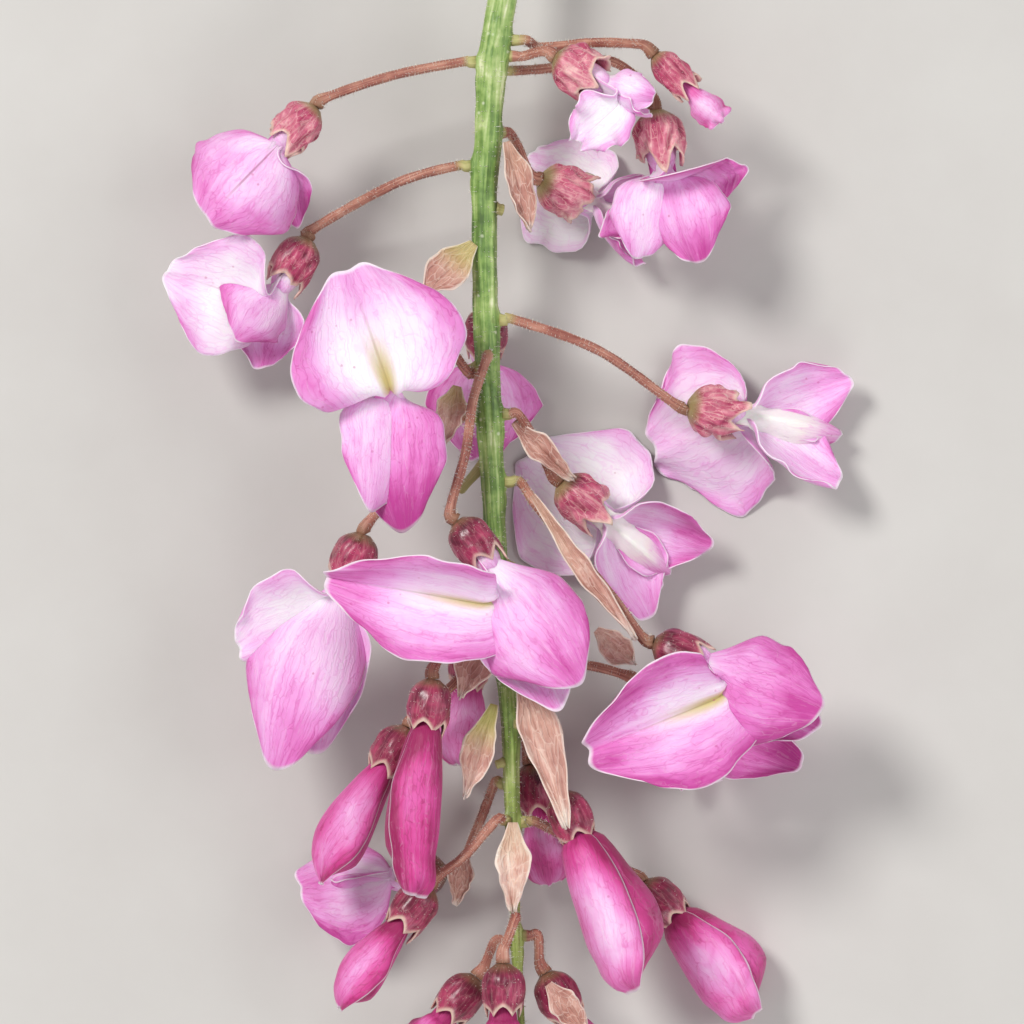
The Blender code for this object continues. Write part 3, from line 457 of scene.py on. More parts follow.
def wing_petal(flower, hand, rows, columns):
    """A side petal. hand is 1 for the flower's right and -1 for its left."""
    axis, back, right = directions(*flower["turn"])
    own = flower.get("right_wing" if hand > 0 else "left_wing", {})
    look = {**WING, **flower["wings"], **own}
    splay, droop, spin, aim = look.pop("splay"), look.pop("droop"), look.pop("spin"), look.pop("aim", None)
    inner = -right * hand
    way = turned(turned(axis, right, -droop), back, -splay * hand)
    looks = turned(unit(inner - way * (inner @ way)), way, spin * hand)
    last = directions(*aim)[:2] if aim else (way, looks)
    look["skew"] = look["skew"] * hand
    return petal_blade(flower, look, right * hand * WING_FOOT, inner, rows, columns, last)


def keel_petal(flower, rows, columns):
    """The folded petal under the wings."""
    axis, back, right = directions(*flower["turn"])
    look = {**KEEL, **flower["keel"]}
    droop = look.pop("droop")
    last = turned(axis, right, -droop), turned(back, right, -droop)
    return petal_blade(flower, look, -back * KEEL_FOOT, back, rows, columns, last)


def petal_grids(flower):
    """The grid of each petal of an opened flower."""
    rows, columns = PETAL_GRID
    made = [standard_petal(flower, rows, columns)]
    made += [wing_petal(flower, hand, rows - 1, columns - 1) for hand in (1, -1)]
    if "keel" in flower:
        made.append(keel_petal(flower, rows - 2, KEEL_COLUMNS))
    return made


def ring_points(centre, ahead, guide, radius, angles):
    """Points round a centre at angles in radians, square to ahead and measured from guide."""
    one = unit(guide - ahead * (guide @ ahead))
    two = np.cross(ahead, one)
    round_it = np.cos(angles)[:, None] * one + np.sin(angles)[:, None] * two
    return centre + round_it * np.reshape(radius, (-1, 1))


def even_angles(count):
    """count angles at even steps round a circle, in radians."""
    return np.arange(count) * 2 * math.pi / count


def bud_rings(flower):
    """The rings of a closed bud, from its foot in the cup to its tip. Its back petal wraps round the
    others as far as BUD_EDGE, and stands out from them by BUD_LAYER."""
    axis, back, _ = directions(*flower["turn"])
    long, wide = flower["bud"]["length"], flower["bud"]["wide"]
    inner_sides = BUD_SIDES - 2
    angles = [*np.linspace(0, BUD_EDGE, BUD_SIDES), *np.linspace(BUD_EDGE + BUD_STEP, 180, inner_sides)]
    sunk = [0] * BUD_SIDES + [1] * inner_sides
    angles += [360 - angle for angle in angles[-2:0:-1]]
    sunk += sunk[-2:0:-1]
    angles, sunk = np.radians(angles), np.array(sunk)
    base = np.array(flower["at"]) + axis * PETAL_ROOT
    made = [ring_points(base + axis * far, axis, back, plug_wide(flower), angles) for far in (0, PETAL_CLAW)]
    for v in np.linspace(0, 1, BUD_RINGS + 1)[1:] ** 0.9:
        radius = wide * float(through(BUD_OUTLINE, v)) * (1 - BUD_SLIM * np.cos(angles) ** 2)
        layer = BUD_LAYER * smooth_step(0.05, 0.25, v) * (1 - 0.5 * smooth_step(0.8, 1, v)) * sunk
        curl = back * long * (0.05 * v - 0.10 * v**2)
        place = base + axis * (PETAL_CLAW + long * v) + curl
        made.append(ring_points(place, axis, back, np.maximum(radius - layer, BUD_TIP), angles))
    return np.array(made)


def seated(flower):
    """The flower, lowered or raised until its lowest petal is just under the surface."""
    if "bud" in flower:
        lowest = bud_rings(flower)[..., 2].min()
    else:
        lowest = min(grid[..., 2].min() for grid in petal_grids(flower)) - PETAL_THICK / 2
    x, y, z = flower["at"]
    drop = REST_Z - REST_CUT - lowest
    via = [(a, b, c + drop / 2) for a, b, c in flower["via"]]
    return {**flower, "at": (x, y, z + drop), "via": via}


def all_flowers():
    """Every flower and bud by its number."""
    flowers = {**OPEN_FLOWERS, **BUDS}
    return {name: seated(flowers[name]) if name in RESTING else flowers[name] for name in sorted(flowers)}


def stem_at(height):
    """The stem's middle and radius at a height along it."""
    table = np.array(STEM)[::-1]
    x, z, radius = (np.interp(height, table[:, 1], table[:, k]) for k in (0, 2, 3))
    return np.array([x, height, z]), float(radius)


def node_angle(flower):
    """The angle round the stem of a flower's stalk, at the nearest edge of the stem."""
    step = 360 / STEM_SIDES
    return round(flower["node"][1] / step) * step


def foot_of(flower):
    """Where a flower's stalk starts beside the stem, and the way that it leaves it."""
    around = math.radians(node_angle(flower))
    middle, radius = stem_at(flower["node"][0])
    out = np.array([math.cos(around), 0, math.sin(around)])
    return middle + out * (radius + KNOB_OUT + GAP), out


# Each piece's own colour: 0 is pale and 1 is deep. A bud may have a painted highlight, a pale patch on its
# side that faces up, and a standard petal a greenish guide.
STANDARD_TONES = {
    "01": 0.50, "02": 0.12, "03": 0.34, "04": 0.60, "05": 0.20, "07": 0.60, "08": 0.00, "09": 0.28,
    # Flower 13's deeper tone is partly its own pink and partly painted shade, for the shade the flower lies
    # in.
    "10": 0.06, "11": 0.50, "12": 0.18, "13": 0.62, "14": 0.72, "18": 0.52,
}
WING_TONES = {
    "01": (0.46, 0.60), "02": (0.34, 0.50), "03": (0.36, 0.70), "04": (0.55, 0.55), "05": (0.30, 0.30),
    "07": (0.60, 0.28), "08": (0.46, 0.46), "09": (0.40, 0.32), "10": (0.44, 0.38), "11": (0.30, 0.52),
    # Flower 13's deeper tones are partly their own pink and partly painted shade, for the shade the flower
    # lies in.
    "12": (0.30, 0.44), "13": (0.64, 0.70), "14": (0.74, 0.76), "18": (0.58, 0.58),
}
BUD_TONES = {
    "06": 0.40, "15": 0.80, "16": 0.66, "17": 0.46, "19": 0.70, "20": 0.62, "21": 0.52, "22": 0.57,
    "23": 0.76, "24": 0.70, "25": 0.72,
}
# Above 0 the guide is inside the petal, and below 0 only a darker line down its middle shows outside.
GUIDES = {"01": -1.0, "03": 1.0, "08": 0.3, "09": 0.3, "10": 0.3, "11": 0.9, "13": 1.0}
# How strong each bud's painted highlight is: a pale patch on the side that faces up.
BUD_HIGHLIGHTS = {"20": 0.85, "15": 0.4, "16": 0.7, "19": 0.5, "22": 0.7, "06": 0.4}
# How far round a bud its outer petal's middle is turned, in degrees.
BUD_TURNS = {"15": -148, "20": 160, "22": 158}
# How blunt and ruffled a bud's tip is.
BUD_BLUNTS = {"06": 0.45, "15": 0.34, "16": -0.10, "17": 0.15, "19": 0.08, "20": 0.20, "21": 0.2, "22": 0.20}
# How far a bud's inner petals swell out beside the outer one.
BUD_SWELLS = {"15": 0.10, "16": 0.15, "19": 0.15, "20": 0.75, "22": 0.60}
# How much more some flowers' petals are waved at their rims.
FRILLS = {"02": 0.08, "05": 0.12, "07": 0.06, "08": 0.24, "09": 0.16}

# How withered and crumpled a flower's cup is.
WITHERED = {
    "01": 0.8, "02": 0.4, "05": 1.0, "06": 0.6, "07": 1.0, "08": 1.0, "09": 1.0, "10": 0.9, "12": 0.3,
}

# A bract's paleness and how green its foot is.
BRACT_LOOKS = {
    "01": (0.30, 0.7), "02": (0.60, 0.5), "03": (0.25, 0.1), "05": (0.42, 0.1), "06": (0.35, 0.0),
    "07": (0.50, 1.0), "08": (0.50, 0.1), "09": (0.86, 0.2), "10": (0.25, 0.0), "14": (0.60, 0.0),
    "18": (0.30, 0.0), "25": (0.30, 0.0),
}

KEEL_TONE = -0.12
THROAT_TONE = 0.30

# The foot's radius in the cup, as shares of the cup's inside, by how far past the mouth it is.
THROAT = ((-2.4, 0.78), (-1.0, 0.80), (-0.3, 0.78), (0.3, 0.74), (0.9, 0.62), (1.5, 0.46), (1.8, 0.22))
THROAT_AROUND = 32

# A bud's outer petal over its core: how far it wraps round from its back at each place along it, how
# its rim flares, its least radius and how its tip is ruffled.
BUD_WRAP = ((0, 128), (0.35, 124), (0.75, 112), (1, 96))
BUD_FLARE = 0.42
BUD_MOUTH = 0.24
BUD_RUFFLE = 1.2
# How far round a bud its painted highlight, the pale patch on its upward side, reaches, in radians.
HIGHLIGHT_REACH = 0.75
# Where both start inside the cup, how far they lie under the bud's outline, and the core's least radius.
BUD_START = -0.8
SHELL_SUNK = 0.12
CORE_SUNK = 0.30
CORE_TIP = 0.06
# How blunt a bud's tip is, and how withered a cup is, where the tables above don't say.
PLAIN_BLUNT = 0.12
FRESH = 0.1

# Rows and columns of the fine points on each kind of petal, on a bud's outer petal and core, and on
# a bract.
STANDARD_MESH = (40, 41)
WING_MESH = (34, 27)
KEEL_MESH = (26, 21)
SHELL_MESH = (40, 45)
CORE_MESH = (30, 28)
BRACT_MESH = (34, 17)
PETAL_FINE = 0.26
BRACT_FINE = 0.18
RIM_SHARE = 0.35
# How uneven a rim's outline is, as a share of how far it waves.
UNEVEN = 1.3
# How round a petal's tip is: 0 leaves its two corners as they are and 1 rounds them off.
ROUNDING = 0.6
# Depth of the groove down a standard petal, with a guide beside it and without.
GUIDE_GROOVE = 0.14
PLAIN_GROOVE = 0.05

# The fine shape of stalks and cups. Hairs have a least and a greatest length.
STALK_AROUND = 30
STALK_RINGS = 52
STALK_RIDGE = 0.05
STALK_HAIR = (0.12, 0.42)
HAIRS_PER_MM = 30
KNOB_SUNK = 0.65
CUP_FINE_RINGS = 16
CUP_INNER_RINGS = 8
CUP_FINE_WALL = 0.26
# A cup's radius from its foot to its mouth, as shares of its own.
CUP_OUTLINE = ((0, 0.335), (0.07, 0.54), (0.16, 0.78), (0.28, 0.93), (0.44, 1.0), (0.7, 1.01), (1, 0.90))
CUP_HAIRS = 110
CUP_HAIR = (0.10, 0.26)
# A hair's radius at its foot, how far it leans at random and its material slot.
HAIR_WIDE = 0.033
HAIR_LEAN = 0.35
HAIR_SLOT = 2
# How far a bract starts inside what it grows on.
BRACT_ROOT = 0.6

# The stem's fine shape.
STEM_AROUND = 40
STEM_STEP = 0.5
STEM_HAIRS = 2400
STEM_HAIR = (0.14, 0.46)
# The rings on the stem's cut end, as shares of its outline and heights above it, and how pale they
# and the first ring below them are.
STEM_CUT = ((0.45, 0.02), (0.9, 0.12))
CUT_PALE = (1.0, 1.0, 0.3)
# Small stubs on the stem: height, angle round it, length, radius and how far each leans down.
STUBS = (
    (5.6, 215, 4.2, 0.50, 0.9), (14.4, 178, 1.1, 0.75, 0.2), (30.6, -20, 0.9, 0.60, 0.2),
    (-5.0, 12, 0.8, 0.5, 0.3), (-24.8, 168, 0.9, 0.45, 0.3), (52.6, 160, 0.7, 0.7, 0.2),
)
STUB_AROUND = 16
# A stub's radius from its foot to its end, as shares of its own.
STUB_OUTLINE = ((0, 1.35), (0.3, 1.1), (0.6, 0.95), (0.85, 1.0), (0.95, 1.02), (1.0, 0.8), (0.97, 0.3))

# Height above the floor below which nothing goes, and how softly a petal settles on it.
FLOOR_CLEAR = 0.03
SETTLE = 0.12

# Each piece's random draws start from one of these numbers, plus the number in its name.
FLOWER_SEED = 1000
BRACT_SEED = 2000
STEM_SEED = 3000

# Scales of colours, each with its place from 0 to 1. Petals go from pale to deep, and the others from
# dark to pale.
PINKS = (
    (0.0, "#FBF3FB"), (0.22, "#F7E0F5"), (0.42, "#F2C4EC"), (0.60, "#EBA2DD"), (0.80, "#DF79C3"),
    (1.0, "#C3459A"),
)
CREAMS = (
    (0.0, "#FFFBF6"), (0.22, "#FDF3EE"), (0.42, "#F8DDEC"), (0.60, "#EFAEDD"), (0.80, "#DF79C3"),
    (1.0, "#C3459A"),
)
DEEP_PINKS = (
    (0.0, "#F8E4F6"), (0.22, "#F3C0E8"), (0.42, "#EC96D2"), (0.62, "#E066B0"), (0.82, "#CC3F8C"),
    (1.0, "#9C1F5C"),
)
MAROONS = (
    (0.0, "#4A1022"), (0.20, "#7E2140"), (0.42, "#B23E64"), (0.62, "#CB6C84"), (0.82, "#DE98A2"),
    (1.0, "#F0C9C2"),
)
BROWNS = ((0.0, "#6B3A33"), (0.30, "#93554A"), (0.55, "#B47A68"), (0.80, "#CFA08C"), (1.0, "#E6CBB8"))
GREENS = ((0.0, "#47632A"), (0.28, "#688A3E"), (0.52, "#8FAD5C"), (0.76, "#B5C784"), (1.0, "#E2E7BE"))
TANS = ((0.0, "#8B564C"), (0.28, "#B58074"), (0.52, "#CFA193"), (0.78, "#E6C9BA"), (1.0, "#F6EADF"))
PALE_HAIRS = ((0.3, "#E6DACB"), (0.7, "#FBF8F2"))
FLOOR_GREYS = ((0.3, "#C6C3BF"), (0.7, "#CCCAC6"))

# The floor's half width in metres, each light's place in metres, size, power and colour, and the
# strength of the even light.
FLOOR_HALF = 1.5
LIGHTS = {
    "key": ((-0.45, 0.40, 0.75), 0.30, 6.3, (1.0, 0.99, 0.97)),
    "fill": ((0.60, 0.10, 0.60), 0.60, 2.3, (0.97, 0.98, 1.0)),
    "low": ((0.05, -0.60, 0.45), 0.50, 1.6, (1.0, 0.98, 1.0)),
}
EVEN_LIGHT = 0.34

# The camera is straight above, with the photograph's frame in millimetres at the stem's height. It
# sees what is between the last two distances, in metres.
CAMERA_FAR = 1000.0
FRAME_WIDE = 102.4
SENSOR = 36.0
NEAREST_SEEN = 0.05
FARTHEST_SEEN = 20


def stem_offset():
    """Where the stem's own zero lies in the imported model, in metres, from the stem's cut end."""
    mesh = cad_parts["stem"].data
    points = np.array([vertex.co for vertex in mesh.vertices])
    end = points[points[:, 1] > points[:, 1].max() - 1e-5].mean(axis=0)
    return end - np.array(STEM[0][:3]) * MM


OFFSET = stem_offset()


class Skin:
    """The points and faces of one piece, with the marks that its materials read at each point."""

    def __init__(self):
        self.points, self.places, self.looks = [], [], []
        self.faces, self.slots = [], []
        self.count = 0

    def add(self, points, faces, slot, places, looks):
        """Add points, and faces in a material slot. A mark is given for each point or once for all."""
        points = np.reshape(points, (-1, 3))
        self.points.append(points)
        self.places.append(np.broadcast_to(np.reshape(places, (-1, 3)), points.shape))
        self.looks.append(np.broadcast_to(np.reshape(looks, (-1, 3)), points.shape))
        self.faces += [tuple(self.count + i for i in face) for face in faces]
        self.slots += [slot] * len(faces)
        self.count += len(points)

    def made(self, name, materials):
        """The finished piece, which stays above the floor."""
        points = np.vstack(self.points) * MM + OFFSET
        points[:, 2] = np.maximum(points[:, 2], FLOOR_CLEAR * MM)
        mesh = bpy.data.meshes.new(name)
        mesh.from_pydata(points.tolist(), [], self.faces)
        for mark, values in (("place", self.places), ("look", self.looks)):
            attribute = mesh.attributes.new(mark, "FLOAT_VECTOR", "POINT")
            attribute.data.foreach_set("vector", np.vstack(values).astype(np.float32).ravel())
        for material in materials:
            mesh.materials.append(material)
        mesh.polygons.foreach_set("material_index", self.slots)
        mesh.polygons.foreach_set("use_smooth", [True] * len(self.faces))
        mesh.update()
        piece = bpy.data.objects.new(name, mesh)
        bpy.context.scene.collection.objects.link(piece)
        return piece


def grid_places(grid):
    """Each point's place on a blade: from -1 to 1 across it and from 0 to 1 along it."""
    rows, columns = grid.shape[:2]
    return np.meshgrid(np.linspace(-1, 1, columns), np.linspace(0, 1, rows))


def grid_normals(grid):
    """The direction that the grid faces at each point."""
    return unit(np.cross(np.gradient(grid, axis=1), np.gradient(grid, axis=0)))


def grid_steps(grid, axis):
    """The direction in which the grid's rows or columns follow each other at each point."""
    return unit(np.gradient(grid, axis=axis))


def grid_faces(rows, columns, first=0, turned_over=False):
    """The faces between a grid's points, whose numbers start at first."""
    faces = []
    for i in range(rows - 1):
        for j in range(columns - 1):
            a = first + i * columns + j
            face = (a, a + 1, a + 1 + columns, a + columns)
            faces.append(face[::-1] if turned_over else face)
    return faces


def grid_edge(rows, columns):
    """The places of a grid's outer points, in order round it."""
    edge = list(range(columns))
    edge += [i * columns + columns - 1 for i in range(1, rows)]
    edge += [(rows - 1) * columns + j for j in range(columns - 2, -1, -1)]
    edge += [i * columns for i in range(rows - 2, 0, -1)]
    return edge


def add_sheet(skin, grid, thick, slot, extra, tone, chance, inner_front=True):
    """Add a thin petal or bract over a grid of points, thinner towards its rim. Where it would sink
    into the surface it lies on it."""
    rows, columns = grid.shape[:2]
    low = REST_Z + FLOOR_CLEAR + thick / 2
    lifted = low + SETTLE * np.logaddexp(0, (grid[..., 2] - low) / SETTLE)
    grid = np.concatenate([grid[..., :2], lifted[..., None]], axis=2)
    u, v = grid_places(grid)
    near_rim = np.minimum(1 - np.abs(u), 1 - v)
    depth = thick / 2 * (RIM_SHARE + (1 - RIM_SHARE) * smooth_step(0, 0.1, near_rim))
    step = grid_normals(grid) * depth[..., None]
    places = np.stack([u, v, np.broadcast_to(extra, u.shape)], axis=2)
    under = rows * columns
    faces = grid_faces(rows, columns) + grid_faces(rows, columns, under, True)
    edge = grid_edge(rows, columns)
    for a, b in zip(edge, edge[1:] + edge[:1]):
        faces.append((a, under + a, under + b, b))
    looks = [(tone, float(side), chance) for side in (inner_front, not inner_front)]
    skin.add([grid + step, grid - step], faces, slot, [places, places], np.repeat(looks, under, axis=0))


def enlivened(grid, rng, swell, rim, waves=4.0):
    """The grid with soft undulations and a waved, uneven rim, different on each petal."""
    u, v = grid_places(grid)
    one, two, three, four, five = rng.uniform(0, 2 * math.pi, 5)
    soft = np.sin(2.3 * u + 3.1 * v + one) * np.sin(4.4 * v - 1.7 * u + two)
    soft += 0.4 * np.sin(6 * u + 5 * v + three)
    uneven = 0.6 + 0.5 * np.sin(2 * math.pi * 1.3 * v + five + 2.1 * np.sign(u))
    ripple = np.abs(u) ** 3 * np.sin(2 * math.pi * waves * v + four + 1.7 * np.sign(u)) * uneven
    ripple += v**8 * np.sin(math.pi * waves * u + five)
    push = (swell * soft + rim * ripple) * smooth_step(0.12, 0.5, v)
    outward = UNEVEN * rim * u**3 * np.sin(2 * math.pi * 1.6 * v + two) * smooth_step(0.12, 0.5, v)
    onward = UNEVEN * rim * smooth_step(0.72, 1, v) * np.sin(4.4 * u + three)
    pushed = grid + grid_normals(grid) * push[..., None]
    return pushed + grid_steps(grid, 1) * outward[..., None] + grid_steps(grid, 0) * onward[..., None]


def rounded(grid):
    """The grid with the two corners at its tip drawn in, so that its outline is round there."""
    rows, columns = grid.shape[:2]
    u, v = grid_places(grid)
    past = np.maximum(2 * v - 1, 0)
    across = (1 + u * np.sqrt(1 - ROUNDING * past**2 / 2)) / 2 * (columns - 1)
    along = np.where(past > 0, (1 + past * np.sqrt(1 - ROUNDING * u**2 / 2)) / 2, v) * (rows - 1)
    i, j = np.minimum(along.astype(int), rows - 2), np.minimum(across.astype(int), columns - 2)
    s, t = (along - i)[..., None], (across - j)[..., None]
    near = grid[i, j] * (1 - t) + grid[i, j + 1] * t
    far = grid[i + 1, j] * (1 - t) + grid[i + 1, j + 1] * t
    return near * (1 - s) + far * s


def guided(grid, guide):
    """A standard petal with a groove down its midrib and two low folds beside it at its foot."""
    u, v = grid_places(grid)
    deep = GUIDE_GROOVE if guide > 0 else PLAIN_GROOVE
    fading = smooth_step(0.06, 0.2, v) * (1 - 0.8 * smooth_step(0.5, 0.9, v))
    groove = -deep * np.exp(-((u / 0.07) ** 2)) * fading
    folds = 0.5 * max(guide, 0) * np.exp(-(((np.abs(u) - 0.15) / 0.09) ** 2) - ((v - 0.17) / 0.08) ** 2)
    return grid + grid_normals(grid) * (groove + folds)[..., None]


def add_throat(skin, flower, rng):
    """Add the petals' common foot, which fills the cup's mouth."""
    axis, back, _ = directions(*flower["turn"])
    base = np.array(flower["at"])
    wide = flower.get("cup_wide", CUP_WIDE) - CUP_WALL
    around = even_angles(THROAT_AROUND)
    lobes = 1 + 0.06 * np.cos(4 * around + rng.uniform(0, 6))
    rings = [
        ring_points(base + axis * (CUP_LONG + far), axis, back, wide * share * lobes, around)
        for far, share in THROAT
    ]
    look = (THROAT_TONE, 0.0, rng.random())
    add_tube(skin, np.array(rings), 1, look, closed_place=(0.3, 0.0))


def add_open_petals(skin, name, flower, rng):
    """Add an opened flower's foot, standard petal, wings and keel."""
    add_throat(skin, flower, rng)
    guide, frill = GUIDES.get(name, 0.0), FRILLS.get(name, 0.0)
    standard = guided(rounded(standard_petal(flower, *STANDARD_MESH)), guide)
    standard = enlivened(standard, rng, 0.24, 0.18 + frill, 3.0 + 4 * frill)
    add_sheet(skin, standard, PETAL_FINE, 0, guide, STANDARD_TONES[name], rng.random())
    for hand, tone in zip((1, -1), WING_TONES[name]):
        wing = enlivened(rounded(wing_petal(flower, hand, *WING_MESH)), rng, 0.18, 0.12 + frill / 2, 2.5)
        add_sheet(skin, wing, PETAL_FINE, 1, 0.0, tone, rng.random())
    if "keel" in flower:
        keel = enlivened(keel_petal(flower, *KEEL_MESH), rng, 0.06, 0.05, 2.0)
        add_sheet(skin, keel, PETAL_FINE, 2, 0.0, KEEL_TONE, rng.random())


def bud_line(flower, v):
    """The middle of a bud at a share of its length past the cup, which may be negative."""
    axis, back, _ = directions(*flower["turn"])
    long = flower["bud"]["length"]
    base = np.array(flower["at"]) + axis * (PETAL_ROOT + PETAL_CLAW)
    if v <= 0:
        return base + axis * PETAL_CLAW * v
    return base + axis * long * v + back * long * (0.05 * v - 0.10 * v**2)


def bud_radius(flower, v, blunt):
    """A bud's radius at a share of its length, narrowing inside the cup and blunt at its tip."""
    wide = flower["bud"]["wide"]
    if v > 0:
        return wide * (float(through(BUD_OUTLINE, min(v, 1))) + blunt * smooth_step(0.72, 1, v))
    foot = plug_wide(flower)
    return foot + (wide * BUD_OUTLINE[0][1] - foot) * smooth_step(-0.55, 0, v)


def add_bud(skin, name, flower, rng):
    """Add a closed bud: an outer petal that wraps round it and leaves a seam, and a core."""
    turn = math.radians(BUD_TURNS.get(name, 0))
    add_shell(skin, name, flower, turn, rng)
    add_core(skin, name, flower, turn, rng)


def add_shell(skin, name, flower, turn, rng):
    """Add a bud's outer petal, whose middle is turned round the bud from its back."""
    axis, back, _ = directions(*flower["turn"])
    rows, columns = SHELL_MESH
    pale, blunt = BUD_HIGHLIGHTS.get(name, 0.0), BUD_BLUNTS.get(name, PLAIN_BLUNT)
    shares = [*np.linspace(BUD_START, 0, 5), *np.linspace(0, 1.01, rows - 4)[1:]]
    lap = rng.uniform(0, 6)
    u = np.linspace(-1, 1, columns)
    facing_up = -math.radians(flower["turn"][2])
    shell, paleness = [], []
    for v in shares:
        reach = math.radians(float(through(BUD_WRAP, max(v, 0))))
        angles = u * reach + turn
        flare = BUD_FLARE * smooth_step(0.72, 1, np.abs(u)) * smooth_step(0.05, 0.4, v)
        slim = 1 - BUD_SLIM * np.cos(angles) ** 2
        lobes = 1 + 0.05 * np.sin(3 * angles + lap) * smooth_step(0.1, 0.5, v)
        ruffle = BUD_RUFFLE * blunt * smooth_step(0.8, 1, v) * np.sin(5 * angles + lap)
        radius = bud_radius(flower, v, blunt) * slim * lobes + flare + ruffle - SHELL_SUNK
        radius = np.maximum(radius, BUD_MOUTH)
        shell.append(ring_points(bud_line(flower, v), axis, back, radius, angles))
        # Painted highlight: the outer petal is paler round the side of the bud that faces up, towards the
        # lights.
        away = (angles - facing_up + math.pi) % (2 * math.pi) - math.pi
        along = smooth_step(0.05, 0.4, v) * (1 - 0.6 * smooth_step(0.7, 1.0, v))
        paleness.append(pale * along * np.exp(-((away / HIGHLIGHT_REACH) ** 2)))
    shell = enlivened(np.array(shell), rng, 0.12, 0.12, 3.0)
    paleness, chance = np.array(paleness), rng.random()
    add_sheet(skin, shell, PETAL_FINE, 0, paleness, BUD_TONES[name], chance, inner_front=False)


def add_core(skin, name, flower, turn, rng):
    """Add a bud's inner petals as one body, which may swell out where the outer petal is open."""
    axis, back, _ = directions(*flower["turn"])
    rows, columns = CORE_MESH
    around = even_angles(columns)
    open_side = np.cos((around - turn - math.pi) / 2) ** 6
    swell = BUD_SWELLS.get(name, 0.0)
    slim = 1 - BUD_SLIM * np.cos(around) ** 2
    core = []
    for v in [*np.linspace(BUD_START, 0, 4), *np.linspace(0, 1, rows - 3)[1:]]:
        out = open_side * (0.25 + swell * smooth_step(0.2, 0.55, v))
        narrowing = 1 - 0.85 * smooth_step(0.72, 1.0, v)
        radius = np.maximum((bud_radius(flower, v, 0) * slim - CORE_SUNK + out) * narrowing, CORE_TIP)
        core.append(ring_points(bud_line(flower, v), axis, back, radius, around))
    look = (BUD_TONES[name] + 0.12, 0.0, rng.random())
    add_tube(skin, np.array(core), 0, look, closed_place=(0.7, 0.0))


def tube_faces(count, columns, turned_over=False):
    """The faces of a closed body through count rings of points."""
    ends = [tuple(range(columns - 1, -1, -1)), tuple((count - 1) * columns + j for j in range(columns))]
    sides = []
    for i in range(count - 1):
        for j in range(columns):
            a, b = i * columns + j, i * columns + (j + 1) % columns
            sides.append((a, b, b + columns, a + columns))
    if turned_over:
        ends = [end[::-1] for end in ends]
        sides = [(a, d, c, b) for a, b, c, d in sides]
    return [ends[0], *sides, ends[1]]


def add_tube(skin, rings, slot, look, closed_place=None, shares=None):
    """Add a closed body through rings of points. Its marks are the direction round it, how far along
    it is and its look, unless closed_place gives a petal's place for all of it."""
    count, columns = rings.shape[:2]
    along = distances(rings.mean(axis=1))
    share = along / along[-1] if shares is None else np.asarray(shares)
    around = even_angles(columns)
    places, looks = np.zeros((2, count, columns, 3))
    looks[...] = look
    if closed_place is None:
        places[..., 0], places[..., 1] = np.cos(around), np.sin(around)
        places[..., 2] = along[:, None] / 10
        looks[..., 1] = share[:, None]
    else:
        places[..., 0] = np.cos(around) * closed_place[0]
        places[..., 1] = share[:, None]
        places[..., 2] = closed_place[1]
    skin.add(rings, tube_faces(count, columns), slot, places, looks)


def add_hairs(skin, rings, middles, rows, lengths, rng):
    """Add fine hairs on rings of points, each a slim closed spike that leans out from the middles.
    rows has the ring of each hair, and lengths are the least and the greatest."""
    columns = rng.integers(0, rings.shape[1], len(rows))
    roots = rings[rows, columns]
    ways = unit(roots - np.broadcast_to(middles, rings.shape)[rows, columns])
    reach = rng.uniform(*lengths, len(rows))
    lean = unit(ways + rng.normal(0, HAIR_LEAN, ways.shape))
    helper = np.where(np.abs(ways[:, :1]) < 0.8, [[1.0, 0, 0]], [[0, 1.0, 0]])
    one = unit(np.cross(ways, helper))
    two = np.cross(ways, one)
    base = [roots + HAIR_WIDE * (math.cos(a) * one + math.sin(a) * two) for a in even_angles(3)]
    points = np.stack([*base, roots + lean * reach[:, None]], axis=1).reshape(-1, 3)
    faces = []
    for first in range(0, len(points), 4):
        a, b, c, tip = range(first, first + 4)
        faces += [(c, b, a), (a, b, tip), (b, c, tip), (c, a, tip)]
    skin.add(points, faces, HAIR_SLOT, (0, 0, 0), (0, 0, rng.random()))


def stalk_line(flower, count):
    """Points along a stalk from inside its knob to its cup."""
    axis, _, _ = directions(*flower["turn"])
    base = np.array(flower["at"])
    start, out = foot_of(flower)
    path = [start, start + out * KNOB_LONG, *flower["via"], base - axis * STALK_END, base - axis * 0.05]
    line = curve_through(path, count)
    return np.vstack([line[0] - out * KNOB_SUNK, line])


def cup_rim(around):
    """How far each tooth of a cup's rim reaches past its mouth."""
    turn = np.degrees(around)
    peak = 2 * np.abs((turn * TEETH / 360 + 0.5) % 1 - 0.5)
    lower = LOWER_TOOTH * 1.6 * smooth_step(0.2, 0.9, -np.cos(around))
    return TOOTH * (1.35 * peak**1.4 - 0.5) + lower * peak


